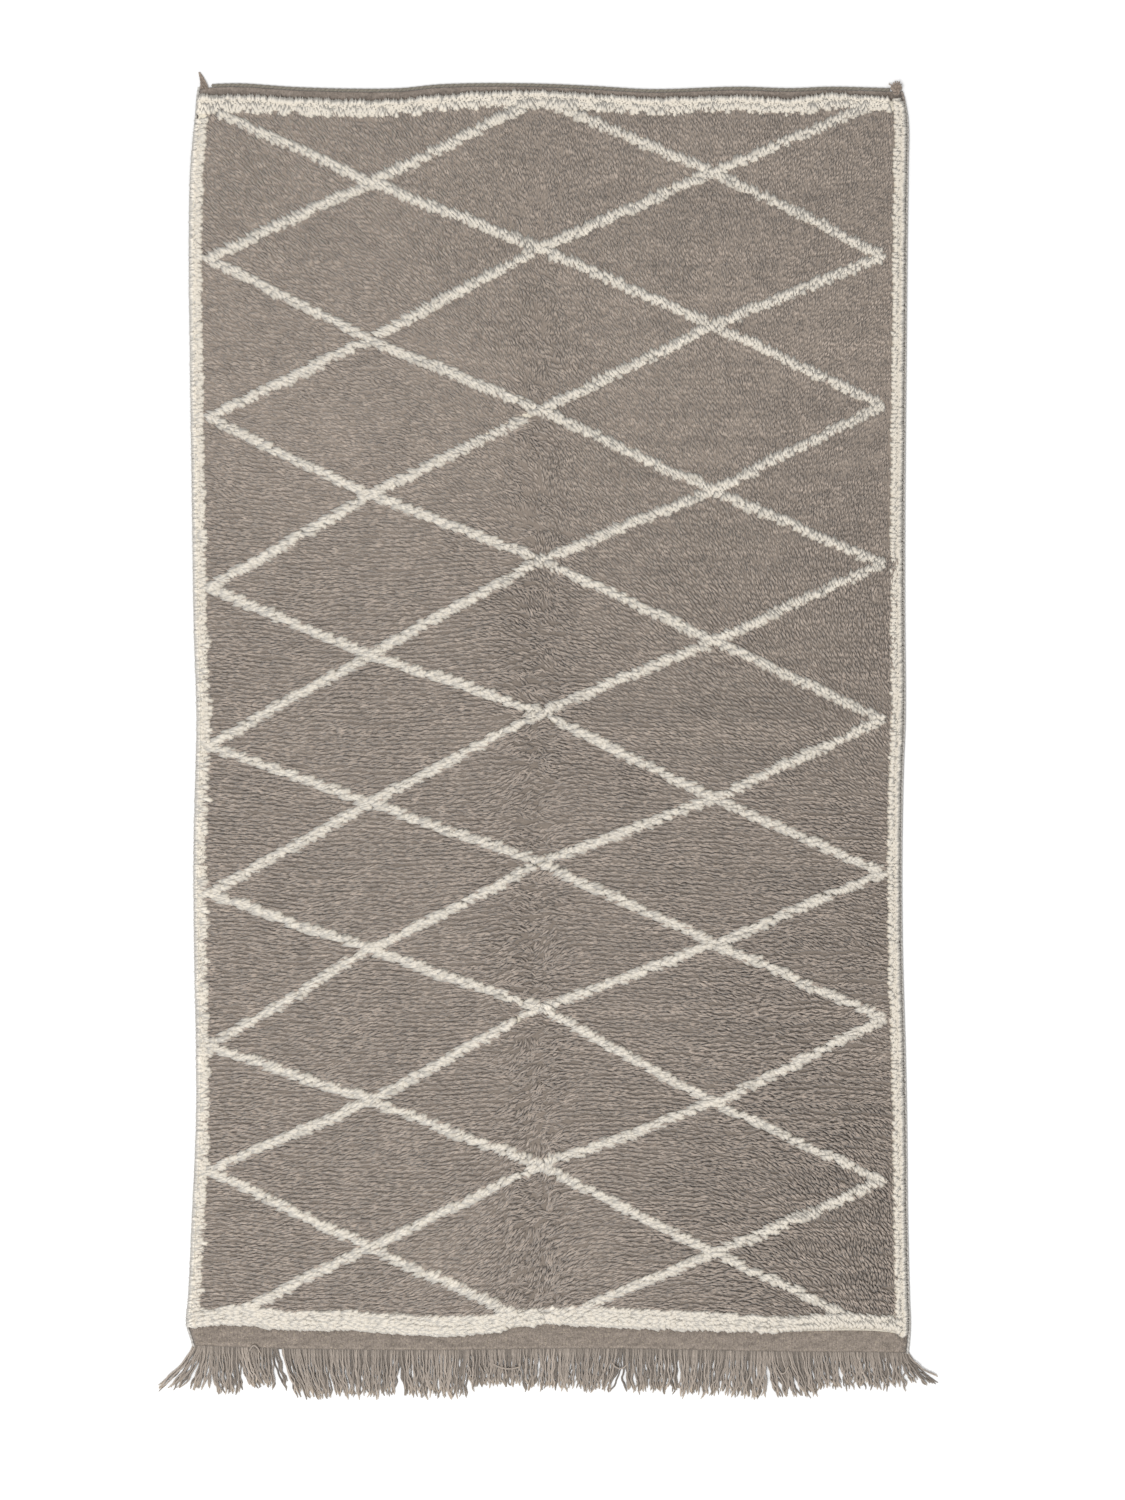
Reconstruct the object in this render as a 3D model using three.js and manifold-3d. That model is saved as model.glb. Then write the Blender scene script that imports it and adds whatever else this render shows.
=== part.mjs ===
// Hand-knotted wool pile rug, lying flat and face up on the floor.
// Millimetres. X runs across the width, Y runs along the length from the fringe to the plain
// heading end, Z points up. The origin is the middle of the rug's footprint, on the floor.

import * as THREE from "three";
import Module from "manifold-3d";
import { mergeGeometries, mergeVertices } from "three/addons/utils/BufferGeometryUtils.js";

// Gap kept between pieces that touch.
const GAP = 0.3;

// The cloth: flat-woven ground, and the pile on it.
const WEAVE_THICKNESS = 4;
const PILE_TOP = 15;
const PILE_RIM_RUN = 14;
const PILE_RIM_RISE = 0.85;
const SIDE_RIM_RISE = 0.5;
const SIDE_CREST_RISE = 0.95;
const PILE_UNDERSIDE = 7.4;
const RIGHT_PILE_REACH = 1.5;
const LOCK_TIP = 4;
const SIDE_LOCK_TIP = 1.5;
const LOCK_LUMP = 0.7;

// A crease along the middle, left by folding, parts the pile.
const CREASE_X = -14;
const CREASE_HALF_WIDTH = 34;
const CREASE_DEPTH = 3;

// Number of sections of the cloth's surface.
const SECTIONS_ACROSS = 40;
const SECTIONS_ALONG = 58;
const CORNER_RUN = 24;

// Edge cords and their polygon sections.
const SELVEDGE_RADIUS = 3;
const HEADING_RADIUS = 3.5;
const CORD_SIDES = 8;
const CORD_FLAT = Math.cos(Math.PI / CORD_SIDES);

// Fringe strands lie on the floor and are joined by a narrow strip.
const STRAND_WIDTH = 4.6;
const STRAND_HEIGHT = 3.8;
const STRAND_TIP_SHARE = 0.52;
const STRAND_BEND_AT = 0.45;
const STRAND_BEND_POWER = 1.4;
const STRAND_UNEVENNESS = 5;
const STRAND_ROOT_DEPTH = 4;
const STRAND_ROOT_LIFT = 0.6;
const STRAND_ROOT_SHARE = 0.55;
const STRIP_WIDTH = 5;
const STRIP_THICKNESS = 3.2;

// Long, low lumps of the pile: wavelengths across and along, phase and height.
const lumps = [
  { across: 410, along: 640, phase: 0.4, height: 0.7 },
  { across: -260, along: 330, phase: 1.9, height: 0.6 },
  { across: 150, along: -190, phase: 3.1, height: 0.5 },
];

// Outer faces of the two long sides, from the fringe end to the heading end.
const sideEdges = [
  { y: -1294, left: -743, right: 760 },
  { y: -1273, left: -747, right: 762 },
  { y: -1235, left: -758, right: 764 },
  { y: -1184, left: -754, right: 762 },
  { y: -1016, left: -746, right: 758 },
  { y: -806, left: -737, right: 756 },
  { y: -659, left: -737, right: 753 },
  { y: -449, left: -741, right: 747 },
  { y: -239, left: -742, right: 746 },
  { y: -71, left: -738, right: 749 },
  { y: 34, left: -736, right: 753 },
  { y: 244, left: -742, right: 752 },
  { y: 454, left: -745, right: 752 },
  { y: 811, left: -750, right: 755 },
  { y: 1021, left: -752, right: 757 },
  { y: 1189, left: -749, right: 759 },
  { y: 1294, left: -740, right: 759 },
  { y: 1344, left: -736, right: 750 },
  { y: 1369, left: -733, right: 742 },
];

// Heading end: outer face of the heading cord, and the line where the pile starts.
const headingEnd = [
  { x: -733, edge: 1368, pile: 1344 },
  { x: -645, edge: 1370, pile: 1344 },
  { x: -540, edge: 1363, pile: 1338 },
  { x: -414, edge: 1359, pile: 1334 },
  { x: -309, edge: 1360, pile: 1335 },
  { x: -225, edge: 1368, pile: 1344 },
  { x: -36, edge: 1370, pile: 1353 },
  { x: 90, edge: 1365, pile: 1346 },
  { x: 216, edge: 1358, pile: 1338 },
  { x: 405, edge: 1363, pile: 1342 },
  { x: 510, edge: 1360, pile: 1336 },
  { x: 594, edge: 1363, pile: 1347 },
  { x: 742, edge: 1360, pile: 1340 },
];

// Fringe end: edge of the flat-woven band, and the line where the pile starts.
const fringeEnd = [
  { x: -743, edge: -1281, pile: -1245 },
  { x: -634, edge: -1285, pile: -1239 },
  { x: -519, edge: -1288, pile: -1250 },
  { x: -382, edge: -1290, pile: -1251 },
  { x: -256, edge: -1291, pile: -1260 },
  { x: -109, edge: -1289, pile: -1257 },
  { x: -15, edge: -1288, pile: -1245 },
  { x: 80, edge: -1287, pile: -1241 },
  { x: 269, edge: -1289, pile: -1250 },
  { x: 447, edge: -1293, pile: -1259 },
  { x: 678, edge: -1295, pile: -1258 },
  { x: 764, edge: -1296, pile: -1266 },
];

// Clumps of the fringe: where their roots and their tips lie across the width, how far the tips
// reach, and the number of strands.
const fringeClumps = [
  { rootFrom: -742, rootTo: -724, tipFrom: -817, tipTo: -769, reach: -1371, strands: 4 },
  { rootFrom: -723, rootTo: -705, tipFrom: -759, tipTo: -709, reach: -1375, strands: 5 },
  { rootFrom: -703, rootTo: -649, tipFrom: -698, tipTo: -640, reach: -1382, strands: 8 },
  { rootFrom: -647, rootTo: -579, tipFrom: -623, tipTo: -572, reach: -1369, strands: 9 },
  { rootFrom: -573, rootTo: -567, tipFrom: -551, tipTo: -544, reach: -1370, strands: 1 },
  { rootFrom: -554, rootTo: -471, tipFrom: -523, tipTo: -456, reach: -1391, strands: 11 },
  { rootFrom: -466, rootTo: -357, tipFrom: -449, tipTo: -357, reach: -1388, strands: 16 },
  { rootFrom: -352, rootTo: -312, tipFrom: -352, tipTo: -315, reach: -1384, strands: 6 },
  { rootFrom: -308, rootTo: -170, tipFrom: -304, tipTo: -168, reach: -1388, strands: 20 },
  { rootFrom: -166, rootTo: -57, tipFrom: -162, tipTo: -58, reach: -1367, strands: 16 },
  { rootFrom: -52, rootTo: 57, tipFrom: -52, tipTo: 53, reach: -1371, strands: 16 },
  { rootFrom: 61, rootTo: 157, tipFrom: 64, tipTo: 137, reach: -1377, strands: 13 },
  { rootFrom: 162, rootTo: 275, tipFrom: 164, tipTo: 271, reach: -1378, strands: 16 },
  { rootFrom: 279, rootTo: 380, tipFrom: 281, tipTo: 367, reach: -1384, strands: 14 },
  { rootFrom: 384, rootTo: 458, tipFrom: 376, tipTo: 456, reach: -1389, strands: 11 },
  { rootFrom: 462, rootTo: 500, tipFrom: 478, tipTo: 531, reach: -1386, strands: 7 },
  { rootFrom: 504, rootTo: 556, tipFrom: 538, tipTo: 567, reach: -1386, strands: 7 },
  { rootFrom: 561, rootTo: 741, tipFrom: 572, tipTo: 752, reach: -1371, strands: 26 },
  { rootFrom: 742, rootTo: 757, tipFrom: 766, tipTo: 818, reach: -1363, strands: 4 },
];

// Twisted tassel at the heading end's left corner: rings from its foot to its tip.
const TASSEL_SIDES = 9;
const TASSEL_LOBES = 3;
const TASSEL_LOBE_DEPTH = 0.16;
const TASSEL_TWIST = 1.5;
const tasselRings = [
  { along: 0, shift: 0, halfWidth: 11.5, height: 9.6 },
  { along: 5, shift: 0, halfWidth: 12.4, height: 11 },
  { along: 12, shift: -2, halfWidth: 9.6, height: 9.6 },
  { along: 19, shift: -5, halfWidth: 6.6, height: 7.6 },
  { along: 26, shift: -8.5, halfWidth: 4.2, height: 5.6 },
  { along: 33, shift: -10.5, halfWidth: 1.6, height: 3 },
];

// Knot with frayed ends at the heading end's right corner.
const KNOT_HALF_WIDTH = 11.5;
const KNOT_HALF_LENGTH = 12;
const KNOT_HEIGHT = 11;
const KNOT_SEGMENTS = 12;
const KNOT_LUMPS = 4;
const KNOT_LUMP_SHARE = 0.1;
const KNOT_LUMP_TWIST = 3;
const KNOT_INSET = 9;
const KNOT_OVERHANG = 4;
const FRAY_RADIUS = 1.7;
const FRAY_SIDES = 5;
const frayedEnds = [
  { shift: -8, lean: -0.3, length: 13 },
  { shift: -3.5, lean: -0.1, length: 16 },
  { shift: 1, lean: 0.12, length: 17 },
  { shift: 5.5, lean: 0.3, length: 15 },
  { shift: 9, lean: 0.55, length: 12 },
];

const taupeWool = { color: 0x90877c, roughness: 0.95, metalness: 0 };
const fringeWool = { color: 0x8f857a, roughness: 0.92, metalness: 0 };
const selvedgeWool = { color: 0xb9b4ab, roughness: 0.9, metalness: 0 };
const headingWool = { color: 0x7c7566, roughness: 0.92, metalness: 0 };
const knotWool = { color: 0x86796b, roughness: 0.92, metalness: 0 };

const wasm = await Module();
wasm.setup();

// A smooth curve through one column of a table of sections.
function curveThrough(table, along, column) {
  const places = Float32Array.from(table, (row) => row[along]);
  const values = Float32Array.from(table, (row) => row[column]);
  const curve = new THREE.CubicInterpolant(places, values, 1);
  return (place) => curve.evaluate(THREE.MathUtils.clamp(place, places[0], places.at(-1)))[0];
}

const leftSide = curveThrough(sideEdges, "y", "left");
const rightSide = curveThrough(sideEdges, "y", "right");
const headingFace = curveThrough(headingEnd, "x", "edge");
const headingPile = curveThrough(headingEnd, "x", "pile");
const fringeEdge = curveThrough(fringeEnd, "x", "edge");
const fringePile = curveThrough(fringeEnd, "x", "pile");

// The woven ground ends inside the edge cords.
const groundLeft = (y) => leftSide(y) + 2 * SELVEDGE_RADIUS + GAP;
const groundRight = (y) => rightSide(y) - 2 * SELVEDGE_RADIUS - GAP;
const groundTop = (x) => headingFace(x) - 2 * HEADING_RADIUS - GAP;

// A repeatable value from -1 to 1 for each pair of section numbers.
function unevenness(across, along) {
  const wave = Math.sin(across * 12.9898 + along * 78.233) * 43758.5453;
  return 2 * (wave - Math.floor(wave)) - 1;
}

// Height of the pile over the floor.
function pileHeight(x, y) {
  let height = PILE_TOP;
  for (const lump of lumps) {
    height += lump.height * Math.sin((x / lump.across + y / lump.along) * 2 * Math.PI + lump.phase);
  }
  return height - CREASE_DEPTH * Math.exp(-(((x - CREASE_X) / CREASE_HALF_WIDTH) ** 2));
}

// Rows of the cloth's surface along its length. Raised is 0 on the flat-woven ends and 1 on the
// pile, and leans is 1 where the pile leans out over the ground's sides.
function clothRows() {
  const lowerCrest = (x) => fringePile(x) + PILE_RIM_RUN;
  const upperCrest = (x) => headingPile(x) - PILE_RIM_RUN;
  const rows = [
    { y: fringeEdge, raised: 0, leans: 0, tip: 0 },
    { y: fringePile, raised: 0, leans: 0, tip: -LOCK_TIP },
    { y: lowerCrest, raised: PILE_RIM_RISE, leans: 0, tip: 0 },
  ];
  for (let section = 1; section < SECTIONS_ALONG; section += 1) {
    const share = section / SECTIONS_ALONG;
    const y = (x) => THREE.MathUtils.lerp(lowerCrest(x), upperCrest(x), share);
    rows.push({ y, raised: 1, leans: 1, tip: 0 });
  }
  rows.push({ y: upperCrest, raised: PILE_RIM_RISE, leans: 0, tip: 0 });
  rows.push({ y: headingPile, raised: 0, leans: 0, tip: LOCK_TIP });
  rows.push({ y: groundTop, raised: 0, leans: 0, tip: 0 });
  return rows;
}

// Columns of the cloth's surface across its width, with narrow ones beside the two long sides.
function clothColumns() {
  const columns = [
    { share: 0, inset: 0, raised: SIDE_RIM_RISE },
    { share: 0, inset: PILE_RIM_RUN, raised: SIDE_CREST_RISE },
    { share: 0, inset: CORNER_RUN, raised: 1 },
  ];
  for (let section = 2; section < SECTIONS_ACROSS - 1; section += 1) {
    columns.push({ share: section / SECTIONS_ACROSS, inset: 0, raised: 1 });
  }
  columns.push({ share: 1, inset: -CORNER_RUN, raised: 1 });
  columns.push({ share: 1, inset: -PILE_RIM_RUN, raised: SIDE_CREST_RISE });
  columns.push({ share: 1, inset: 0, raised: SIDE_RIM_RISE });
  return columns;
}

const rows = clothRows();
const columns = clothColumns();
const lastRow = rows.length - 1;
const lastColumn = columns.length - 1;

// Place of one grid point on the woven ground, without the pile that leans over its sides.
function groundPoint(columnNumber, rowNumber) {
  const column = columns[columnNumber];
  const row = rows[rowNumber];
  const middleY = row.y(0);
  const roughX = THREE.MathUtils.lerp(groundLeft(middleY), groundRight(middleY), column.share) + column.inset;
  const inner = columnNumber > 0 && columnNumber < lastColumn;
  const tip = inner && columnNumber % 2 === 0 ? row.tip : 0;
  const y = row.y(roughX) + tip;
  const x = THREE.MathUtils.lerp(groundLeft(y), groundRight(y), column.share) + column.inset;
  return new THREE.Vector2(x, y);
}

// How far the pile leans out over the ground's edge at a row.
function sideReach(columnNumber, rowNumber) {
  const tip = rowNumber % 2 === 0 ? 0 : SIDE_LOCK_TIP;
  if (columnNumber === 0) {
    return -(2 * SELVEDGE_RADIUS + GAP - tip) * rows[rowNumber].leans;
  }
  if (columnNumber === lastColumn) {
    return (RIGHT_PILE_REACH - tip) * rows[rowNumber].leans;
  }
  return 0;
}

// One grid point on the cloth's upper surface.
function surfacePoint(columnNumber, rowNumber) {
  const ground = groundPoint(columnNumber, rowNumber);
  const raised = columns[columnNumber].raised * rows[rowNumber].raised;
  const lump = raised * LOCK_LUMP * unevenness(columnNumber, rowNumber);
  const pile = pileHeight(ground.x, ground.y) - WEAVE_THICKNESS;
  const x = ground.x + sideReach(columnNumber, rowNumber);
  return new THREE.Vector3(x, ground.y, WEAVE_THICKNESS + raised * pile + lump);
}

// Grid points around the cloth's edge, anticlockwise from the fringe end's left corner.
function edgeLoop() {
  const loop = [];
  for (let column = 0; column < lastColumn; column += 1) {
    loop.push([column, 0]);
  }
  for (let row = 0; row < lastRow; row += 1) {
    loop.push([lastColumn, row]);
  }
  for (let column = lastColumn; column > 0; column -= 1) {
    loop.push([column, lastRow]);
  }
  for (let row = lastRow; row > 0; row -= 1) {
    loop.push([0, row]);
  }
  return loop;
}

// Triangles as a geometry, from a list of points and a list of their numbers.
function geometryFrom(points, triangles) {
  const geometry = new THREE.BufferGeometry().setFromPoints(points);
  geometry.setIndex(triangles);
  return geometry;
}

// Joins a loop of points to the next loop, which lies below it or further along.
function bridge(triangles, first, second, count) {
  for (let place = 0; place < count; place += 1) {
    const next = (place + 1) % count;
    triangles.push(first + place, second + place, first + next);
    triangles.push(first + next, second + place, second + next);
  }
}

// The cloth: a lumpy pile over a flat underside, thin and flat-woven at both ends.
function rugGeometry() {
  const points = [];
  const triangles = [];
  const width = columns.length;
  for (let row = 0; row <= lastRow; row += 1) {
    for (let column = 0; column <= lastColumn; column += 1) {
      points.push(surfacePoint(column, row));
    }
  }
  for (let row = 0; row < lastRow; row += 1) {
    for (let column = 0; column < lastColumn; column += 1) {
      const corner = row * width + column;
      triangles.push(corner, corner + 1, corner + width);
      triangles.push(corner + 1, corner + width + 1, corner + width);
    }
  }
  const loop = edgeLoop();
  const sill = points.length;
  for (const [column, row] of loop) {
    const ground = groundPoint(column, row);
    const height = rows[row].raised > 0 ? PILE_UNDERSIDE : WEAVE_THICKNESS / 2;
    points.push(new THREE.Vector3(ground.x, ground.y, height));
  }
  const floor = points.length;
  for (const [column, row] of loop) {
    const ground = groundPoint(column, row);
    points.push(new THREE.Vector3(ground.x, ground.y, 0));
  }
  for (let place = 0; place < loop.length; place += 1) {
    const next = (place + 1) % loop.length;
    const upper = loop[place][1] * width + loop[place][0];
    const upperNext = loop[next][1] * width + loop[next][0];
    triangles.push(upper, sill + place, upperNext);
    triangles.push(upperNext, sill + place, sill + next);
  }
  bridge(triangles, sill, floor, loop.length);
  const outline = loop.map(([column, row]) => groundPoint(column, row));
  for (const [first, second, third] of THREE.ShapeUtils.triangulateShape(outline, [])) {
    triangles.push(floor + first, floor + third, floor + second);
  }
  return geometryFrom(points, triangles);
}

// A closed body through rings of equal numbers of points, with a flat cap at each end.
function loft(rings) {
  const points = rings.flat();
  const count = rings[0].length;
  const triangles = [];
  for (let ring = 0; ring < rings.length - 1; ring += 1) {
    bridge(triangles, ring * count, (ring + 1) * count, count);
  }
  const last = (rings.length - 1) * count;
  for (let place = 1; place < count - 1; place += 1) {
    triangles.push(0, place, place + 1);
    triangles.push(last, last + place + 1, last + place);
  }
  return geometryFrom(points, triangles);
}

// A cord along the ground's edge with a flat side down. Side points from the ground to the cord.
function cordGeometry(edgePoints, side, radius) {
  const rings = edgePoints.map((point) => {
    const ring = [];
    for (let corner = 0; corner < CORD_SIDES; corner += 1) {
      const angle = ((corner + 0.5) / CORD_SIDES) * 2 * Math.PI;
      const out = GAP + radius * (1 + Math.cos(angle));
      const up = radius * (1 + Math.sin(angle) / CORD_FLAT);
      ring.push(new THREE.Vector3(point.x + side.x * out, point.y + side.y * out, up));
    }
    return ring;
  });
  return loft(rings);
}

function selvedgeGeometry(columnNumber) {
  const points = rows.map((row, rowNumber) => groundPoint(columnNumber, rowNumber));
  const side = new THREE.Vector2(columnNumber === 0 ? -1 : 1, 0);
  return cordGeometry(columnNumber === 0 ? points.reverse() : points, side, SELVEDGE_RADIUS);
}

function headingGeometry() {
  const points = [];
  for (let column = 2; column <= lastColumn - 2; column += 1) {
    points.push(groundPoint(column, lastRow));
  }
  return cordGeometry(points.reverse(), new THREE.Vector2(0, 1), HEADING_RADIUS);
}

// Narrow strip along the ground's edge, from selvedge to selvedge, that carries the strands.
function fringeStrip() {
  const upper = [];
  const lower = [];
  for (let column = 0; column <= lastColumn; column += 1) {
    const edge = groundPoint(column, 0);
    if (column === 0) {
      edge.x -= 2 * SELVEDGE_RADIUS;
    }
    if (column === lastColumn) {
      edge.x += 2 * SELVEDGE_RADIUS;
    }
    upper.unshift(new THREE.Vector2(edge.x, edge.y - GAP));
    lower.push(new THREE.Vector2(edge.x, edge.y - GAP - STRIP_WIDTH));
  }
  const shape = new THREE.Shape([...lower, ...upper]);
  return new THREE.ExtrudeGeometry(shape, { depth: STRIP_THICKNESS, bevelEnabled: false });
}

// One strand that leaves the strip's front, then lies on a flat foot on the floor out to its tip.
function strandGeometry(rootX, tipX, tipY) {
  const rootY = fringeEdge(rootX) - GAP - STRAND_ROOT_DEPTH;
  const sections = [
    { along: 0, size: STRAND_ROOT_SHARE, lift: STRAND_ROOT_LIFT },
    { along: STRAND_BEND_AT, size: 1, lift: 0 },
    { along: 1, size: STRAND_TIP_SHARE, lift: 0 },
  ];
  const rings = sections.map(({ along, size, lift }) => {
    const x = THREE.MathUtils.lerp(rootX, tipX, along ** STRAND_BEND_POWER);
    const y = THREE.MathUtils.lerp(rootY, tipY, along);
    const half = (STRAND_WIDTH * size) / 2;
    return [
      new THREE.Vector3(x - half, y, lift),
      new THREE.Vector3(x, y, lift + STRAND_HEIGHT * size),
      new THREE.Vector3(x + half, y, lift),
    ];
  });
  return loft(rings);
}

function strandGeometries() {
  const strands = [];
  for (const clump of fringeClumps) {
    for (let number = 0; number < clump.strands; number += 1) {
      const share = (number + 0.5) / clump.strands;
      const rootX = THREE.MathUtils.lerp(clump.rootFrom, clump.rootTo, share);
      const tipX = THREE.MathUtils.lerp(clump.tipFrom, clump.tipTo, share);
      const tipY = clump.reach + STRAND_UNEVENNESS * unevenness(strands.length, number);
      strands.push(strandGeometry(rootX, tipX, tipY));
    }
  }
  return strands;
}

function asManifold(geometry) {
  const bare = geometry.clone();
  bare.deleteAttribute("normal");
  bare.deleteAttribute("uv");
  const merged = mergeVertices(bare, 1e-4);
  const vertProperties = new Float32Array(merged.attributes.position.array);
  const triVerts = new Uint32Array(merged.index.array);
  return new wasm.Manifold(new wasm.Mesh({ numProp: 3, vertProperties, triVerts }));
}

function asGeometry(manifold) {
  const mesh = manifold.getMesh();
  const geometry = new THREE.BufferGeometry();
  geometry.setAttribute("position", new THREE.BufferAttribute(new Float32Array(mesh.vertProperties), 3));
  geometry.setIndex(Array.from(mesh.triVerts));
  return geometry;
}

// Strip and strands fused into one body.
function fringeGeometry() {
  const strands = mergeGeometries(strandGeometries());
  return asGeometry(asManifold(fringeStrip()).add(asManifold(strands)));
}

// A twisted bundle of yarn ends that tapers to a point beyond the cloth's corner.
function tasselGeometry() {
  const outer = groundPoint(0, lastRow);
  const inner = groundPoint(2, lastRow);
  const middleX = (outer.x + inner.x) / 2 - SELVEDGE_RADIUS;
  const footY = Math.max(outer.y, inner.y) + 2 * GAP;
  const length = tasselRings.at(-1).along;
  const rings = tasselRings.map((section) => {
    const ring = [];
    for (let corner = 0; corner < TASSEL_SIDES; corner += 1) {
      const angle = (corner / TASSEL_SIDES) * 2 * Math.PI;
      const turn = TASSEL_TWIST * (section.along / length);
      const lobe = 1 - TASSEL_LOBE_DEPTH * (0.5 + 0.5 * Math.cos(TASSEL_LOBES * angle + turn));
      const x = middleX + section.shift + section.halfWidth * lobe * Math.cos(angle);
      const z = (section.height / 2) * (1 + lobe * Math.sin(angle));
      ring.push(new THREE.Vector3(x, footY + section.along, z));
    }
    return ring;
  });
  return loft(rings);
}

// A lumpy knot on the cloth's corner, with its yarn ends frayed out beyond the edge.
function knotGeometry() {
  const corner = groundPoint(lastColumn, lastRow);
  const middle = new THREE.Vector3(
    corner.x - KNOT_INSET,
    corner.y + KNOT_OVERHANG,
    WEAVE_THICKNESS + GAP + KNOT_HEIGHT / 2,
  );
  const body = new THREE.SphereGeometry(1, KNOT_SEGMENTS, KNOT_SEGMENTS / 2);
  body.rotateX(Math.PI / 2);
  const position = body.attributes.position;
  for (let number = 0; number < position.count; number += 1) {
    const point = new THREE.Vector3().fromBufferAttribute(position, number);
    const angle = Math.atan2(point.y, point.x);
    const lump = 1 + KNOT_LUMP_SHARE * Math.cos(KNOT_LUMPS * angle + KNOT_LUMP_TWIST * point.z);
    position.setXYZ(number, point.x * lump, point.y * lump, point.z);
  }
  body.scale(KNOT_HALF_WIDTH, KNOT_HALF_LENGTH, KNOT_HEIGHT / 2);
  body.translate(middle.x, middle.y, middle.z);
  let knot = asManifold(body);
  for (const end of frayedEnds) {
    const cone = new THREE.ConeGeometry(FRAY_RADIUS, end.length, FRAY_SIDES);
    cone.translate(0, end.length / 2, 0);
    cone.rotateZ(-end.lean);
    cone.translate(middle.x + end.shift, middle.y + KNOT_HALF_LENGTH / 3, middle.z);
    knot = knot.add(asManifold(cone));
  }
  return asGeometry(knot);
}

function piece(name, geometry, look) {
  const mesh = new THREE.Mesh(geometry, new THREE.MeshStandardMaterial(look));
  mesh.name = name;
  return mesh;
}

const rug = new THREE.Group();
rug.add(piece("rug", rugGeometry(), taupeWool));
rug.add(piece("fringe", fringeGeometry(), fringeWool));
rug.add(piece("selvedge_left", selvedgeGeometry(0), selvedgeWool));
rug.add(piece("selvedge_right", selvedgeGeometry(lastColumn), selvedgeWool));
rug.add(piece("heading_cord", headingGeometry(), headingWool));
rug.add(piece("corner_tassel", tasselGeometry(), knotWool));
rug.add(piece("corner_knot", knotGeometry(), knotWool));

export default rug;
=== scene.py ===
"""Hand-knotted wool pile rug, lying face up on a pale floor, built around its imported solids.

Lengths are in millimetres and angles in degrees, unless a name says otherwise. X runs across the
width, Y from the fringe to the plain heading end, and Z up out of the pile. Meshes are written in
metres.
"""

import logging
import math
from collections.abc import Callable
from dataclasses import dataclass, field
from enum import Enum
from functools import cached_property

import bpy
import numpy as np
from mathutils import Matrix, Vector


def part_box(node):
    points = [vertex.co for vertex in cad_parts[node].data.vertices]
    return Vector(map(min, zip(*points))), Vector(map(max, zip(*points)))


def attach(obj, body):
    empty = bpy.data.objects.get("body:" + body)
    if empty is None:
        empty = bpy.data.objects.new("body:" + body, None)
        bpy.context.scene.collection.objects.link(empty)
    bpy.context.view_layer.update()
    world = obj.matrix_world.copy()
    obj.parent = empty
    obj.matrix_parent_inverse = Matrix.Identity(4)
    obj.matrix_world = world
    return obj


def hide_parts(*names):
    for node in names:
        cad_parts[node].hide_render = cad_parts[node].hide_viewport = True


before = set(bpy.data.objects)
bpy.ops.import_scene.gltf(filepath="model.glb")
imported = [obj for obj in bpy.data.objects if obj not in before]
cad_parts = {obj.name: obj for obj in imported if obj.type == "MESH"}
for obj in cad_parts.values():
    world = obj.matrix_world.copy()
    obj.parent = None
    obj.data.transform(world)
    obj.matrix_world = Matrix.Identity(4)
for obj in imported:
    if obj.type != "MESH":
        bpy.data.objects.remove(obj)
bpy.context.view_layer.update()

METRE = 0.001
BAKE_MAP = "OFBake"
SURFACE_MAP = "surface"
# Height over the floor that the yarns and cords keep.
FLOOR_GAP = 0.1
BODY = "root"
LOG = logging.getLogger("rug")

Array = np.ndarray
Piece = bpy.types.Object
Material = bpy.types.Material
Span = tuple[float, float]
Colour = tuple[float, float, float]
Number = "Value | float"


class Table:
    """A short table of sizes with named columns."""

    def __init__(self, columns: str, *rows: tuple[float, ...]) -> None:
        """Keeps the rows.

        Args:
            columns: the columns' names, with spaces between them.
            rows: the rows, each with one number for each column.
        """
        self.names = columns.split()
        self.numbers = np.array(rows, float)

    def column(self, name: str) -> Array:
        """The numbers of one column."""
        return self.numbers[:, self.names.index(name)]


# The two long sides: X of their edges, from the fringe to the heading end.
SIDE_EDGES = Table(
    "y left right",
    (-1294, -743, 760),
    (-1273, -747, 762),
    (-1235, -758, 764),
    (-1184, -754, 762),
    (-1016, -746, 758),
    (-806, -737, 756),
    (-659, -737, 753),
    (-449, -741, 747),
    (-239, -742, 746),
    (-71, -738, 749),
    (34, -736, 753),
    (244, -742, 752),
    (454, -745, 752),
    (811, -750, 755),
    (1021, -752, 757),
    (1189, -749, 759),
    (1294, -740, 759),
    (1344, -736, 750),
    (1369, -733, 742),
)

# The heading end, from left to right: Y of its edge and of the last row of pile.
HEADING_END = Table(
    "x edge pile",
    (-733, 1368, 1344),
    (-645, 1370, 1344),
    (-540, 1363, 1338),
    (-414, 1359, 1334),
    (-309, 1360, 1335),
    (-225, 1368, 1344),
    (-36, 1370, 1353),
    (90, 1365, 1346),
    (216, 1358, 1338),
    (405, 1363, 1342),
    (510, 1360, 1336),
    (594, 1363, 1347),
    (742, 1360, 1340),
)

# The same for the fringe end.
FRINGE_END = Table(
    "x edge pile",
    (-743, -1281, -1245),
    (-634, -1285, -1239),
    (-519, -1288, -1250),
    (-382, -1290, -1251),
    (-256, -1291, -1260),
    (-109, -1289, -1257),
    (-15, -1288, -1245),
    (80, -1287, -1241),
    (269, -1289, -1250),
    (447, -1293, -1259),
    (678, -1295, -1258),
    (764, -1296, -1266),
)

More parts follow.
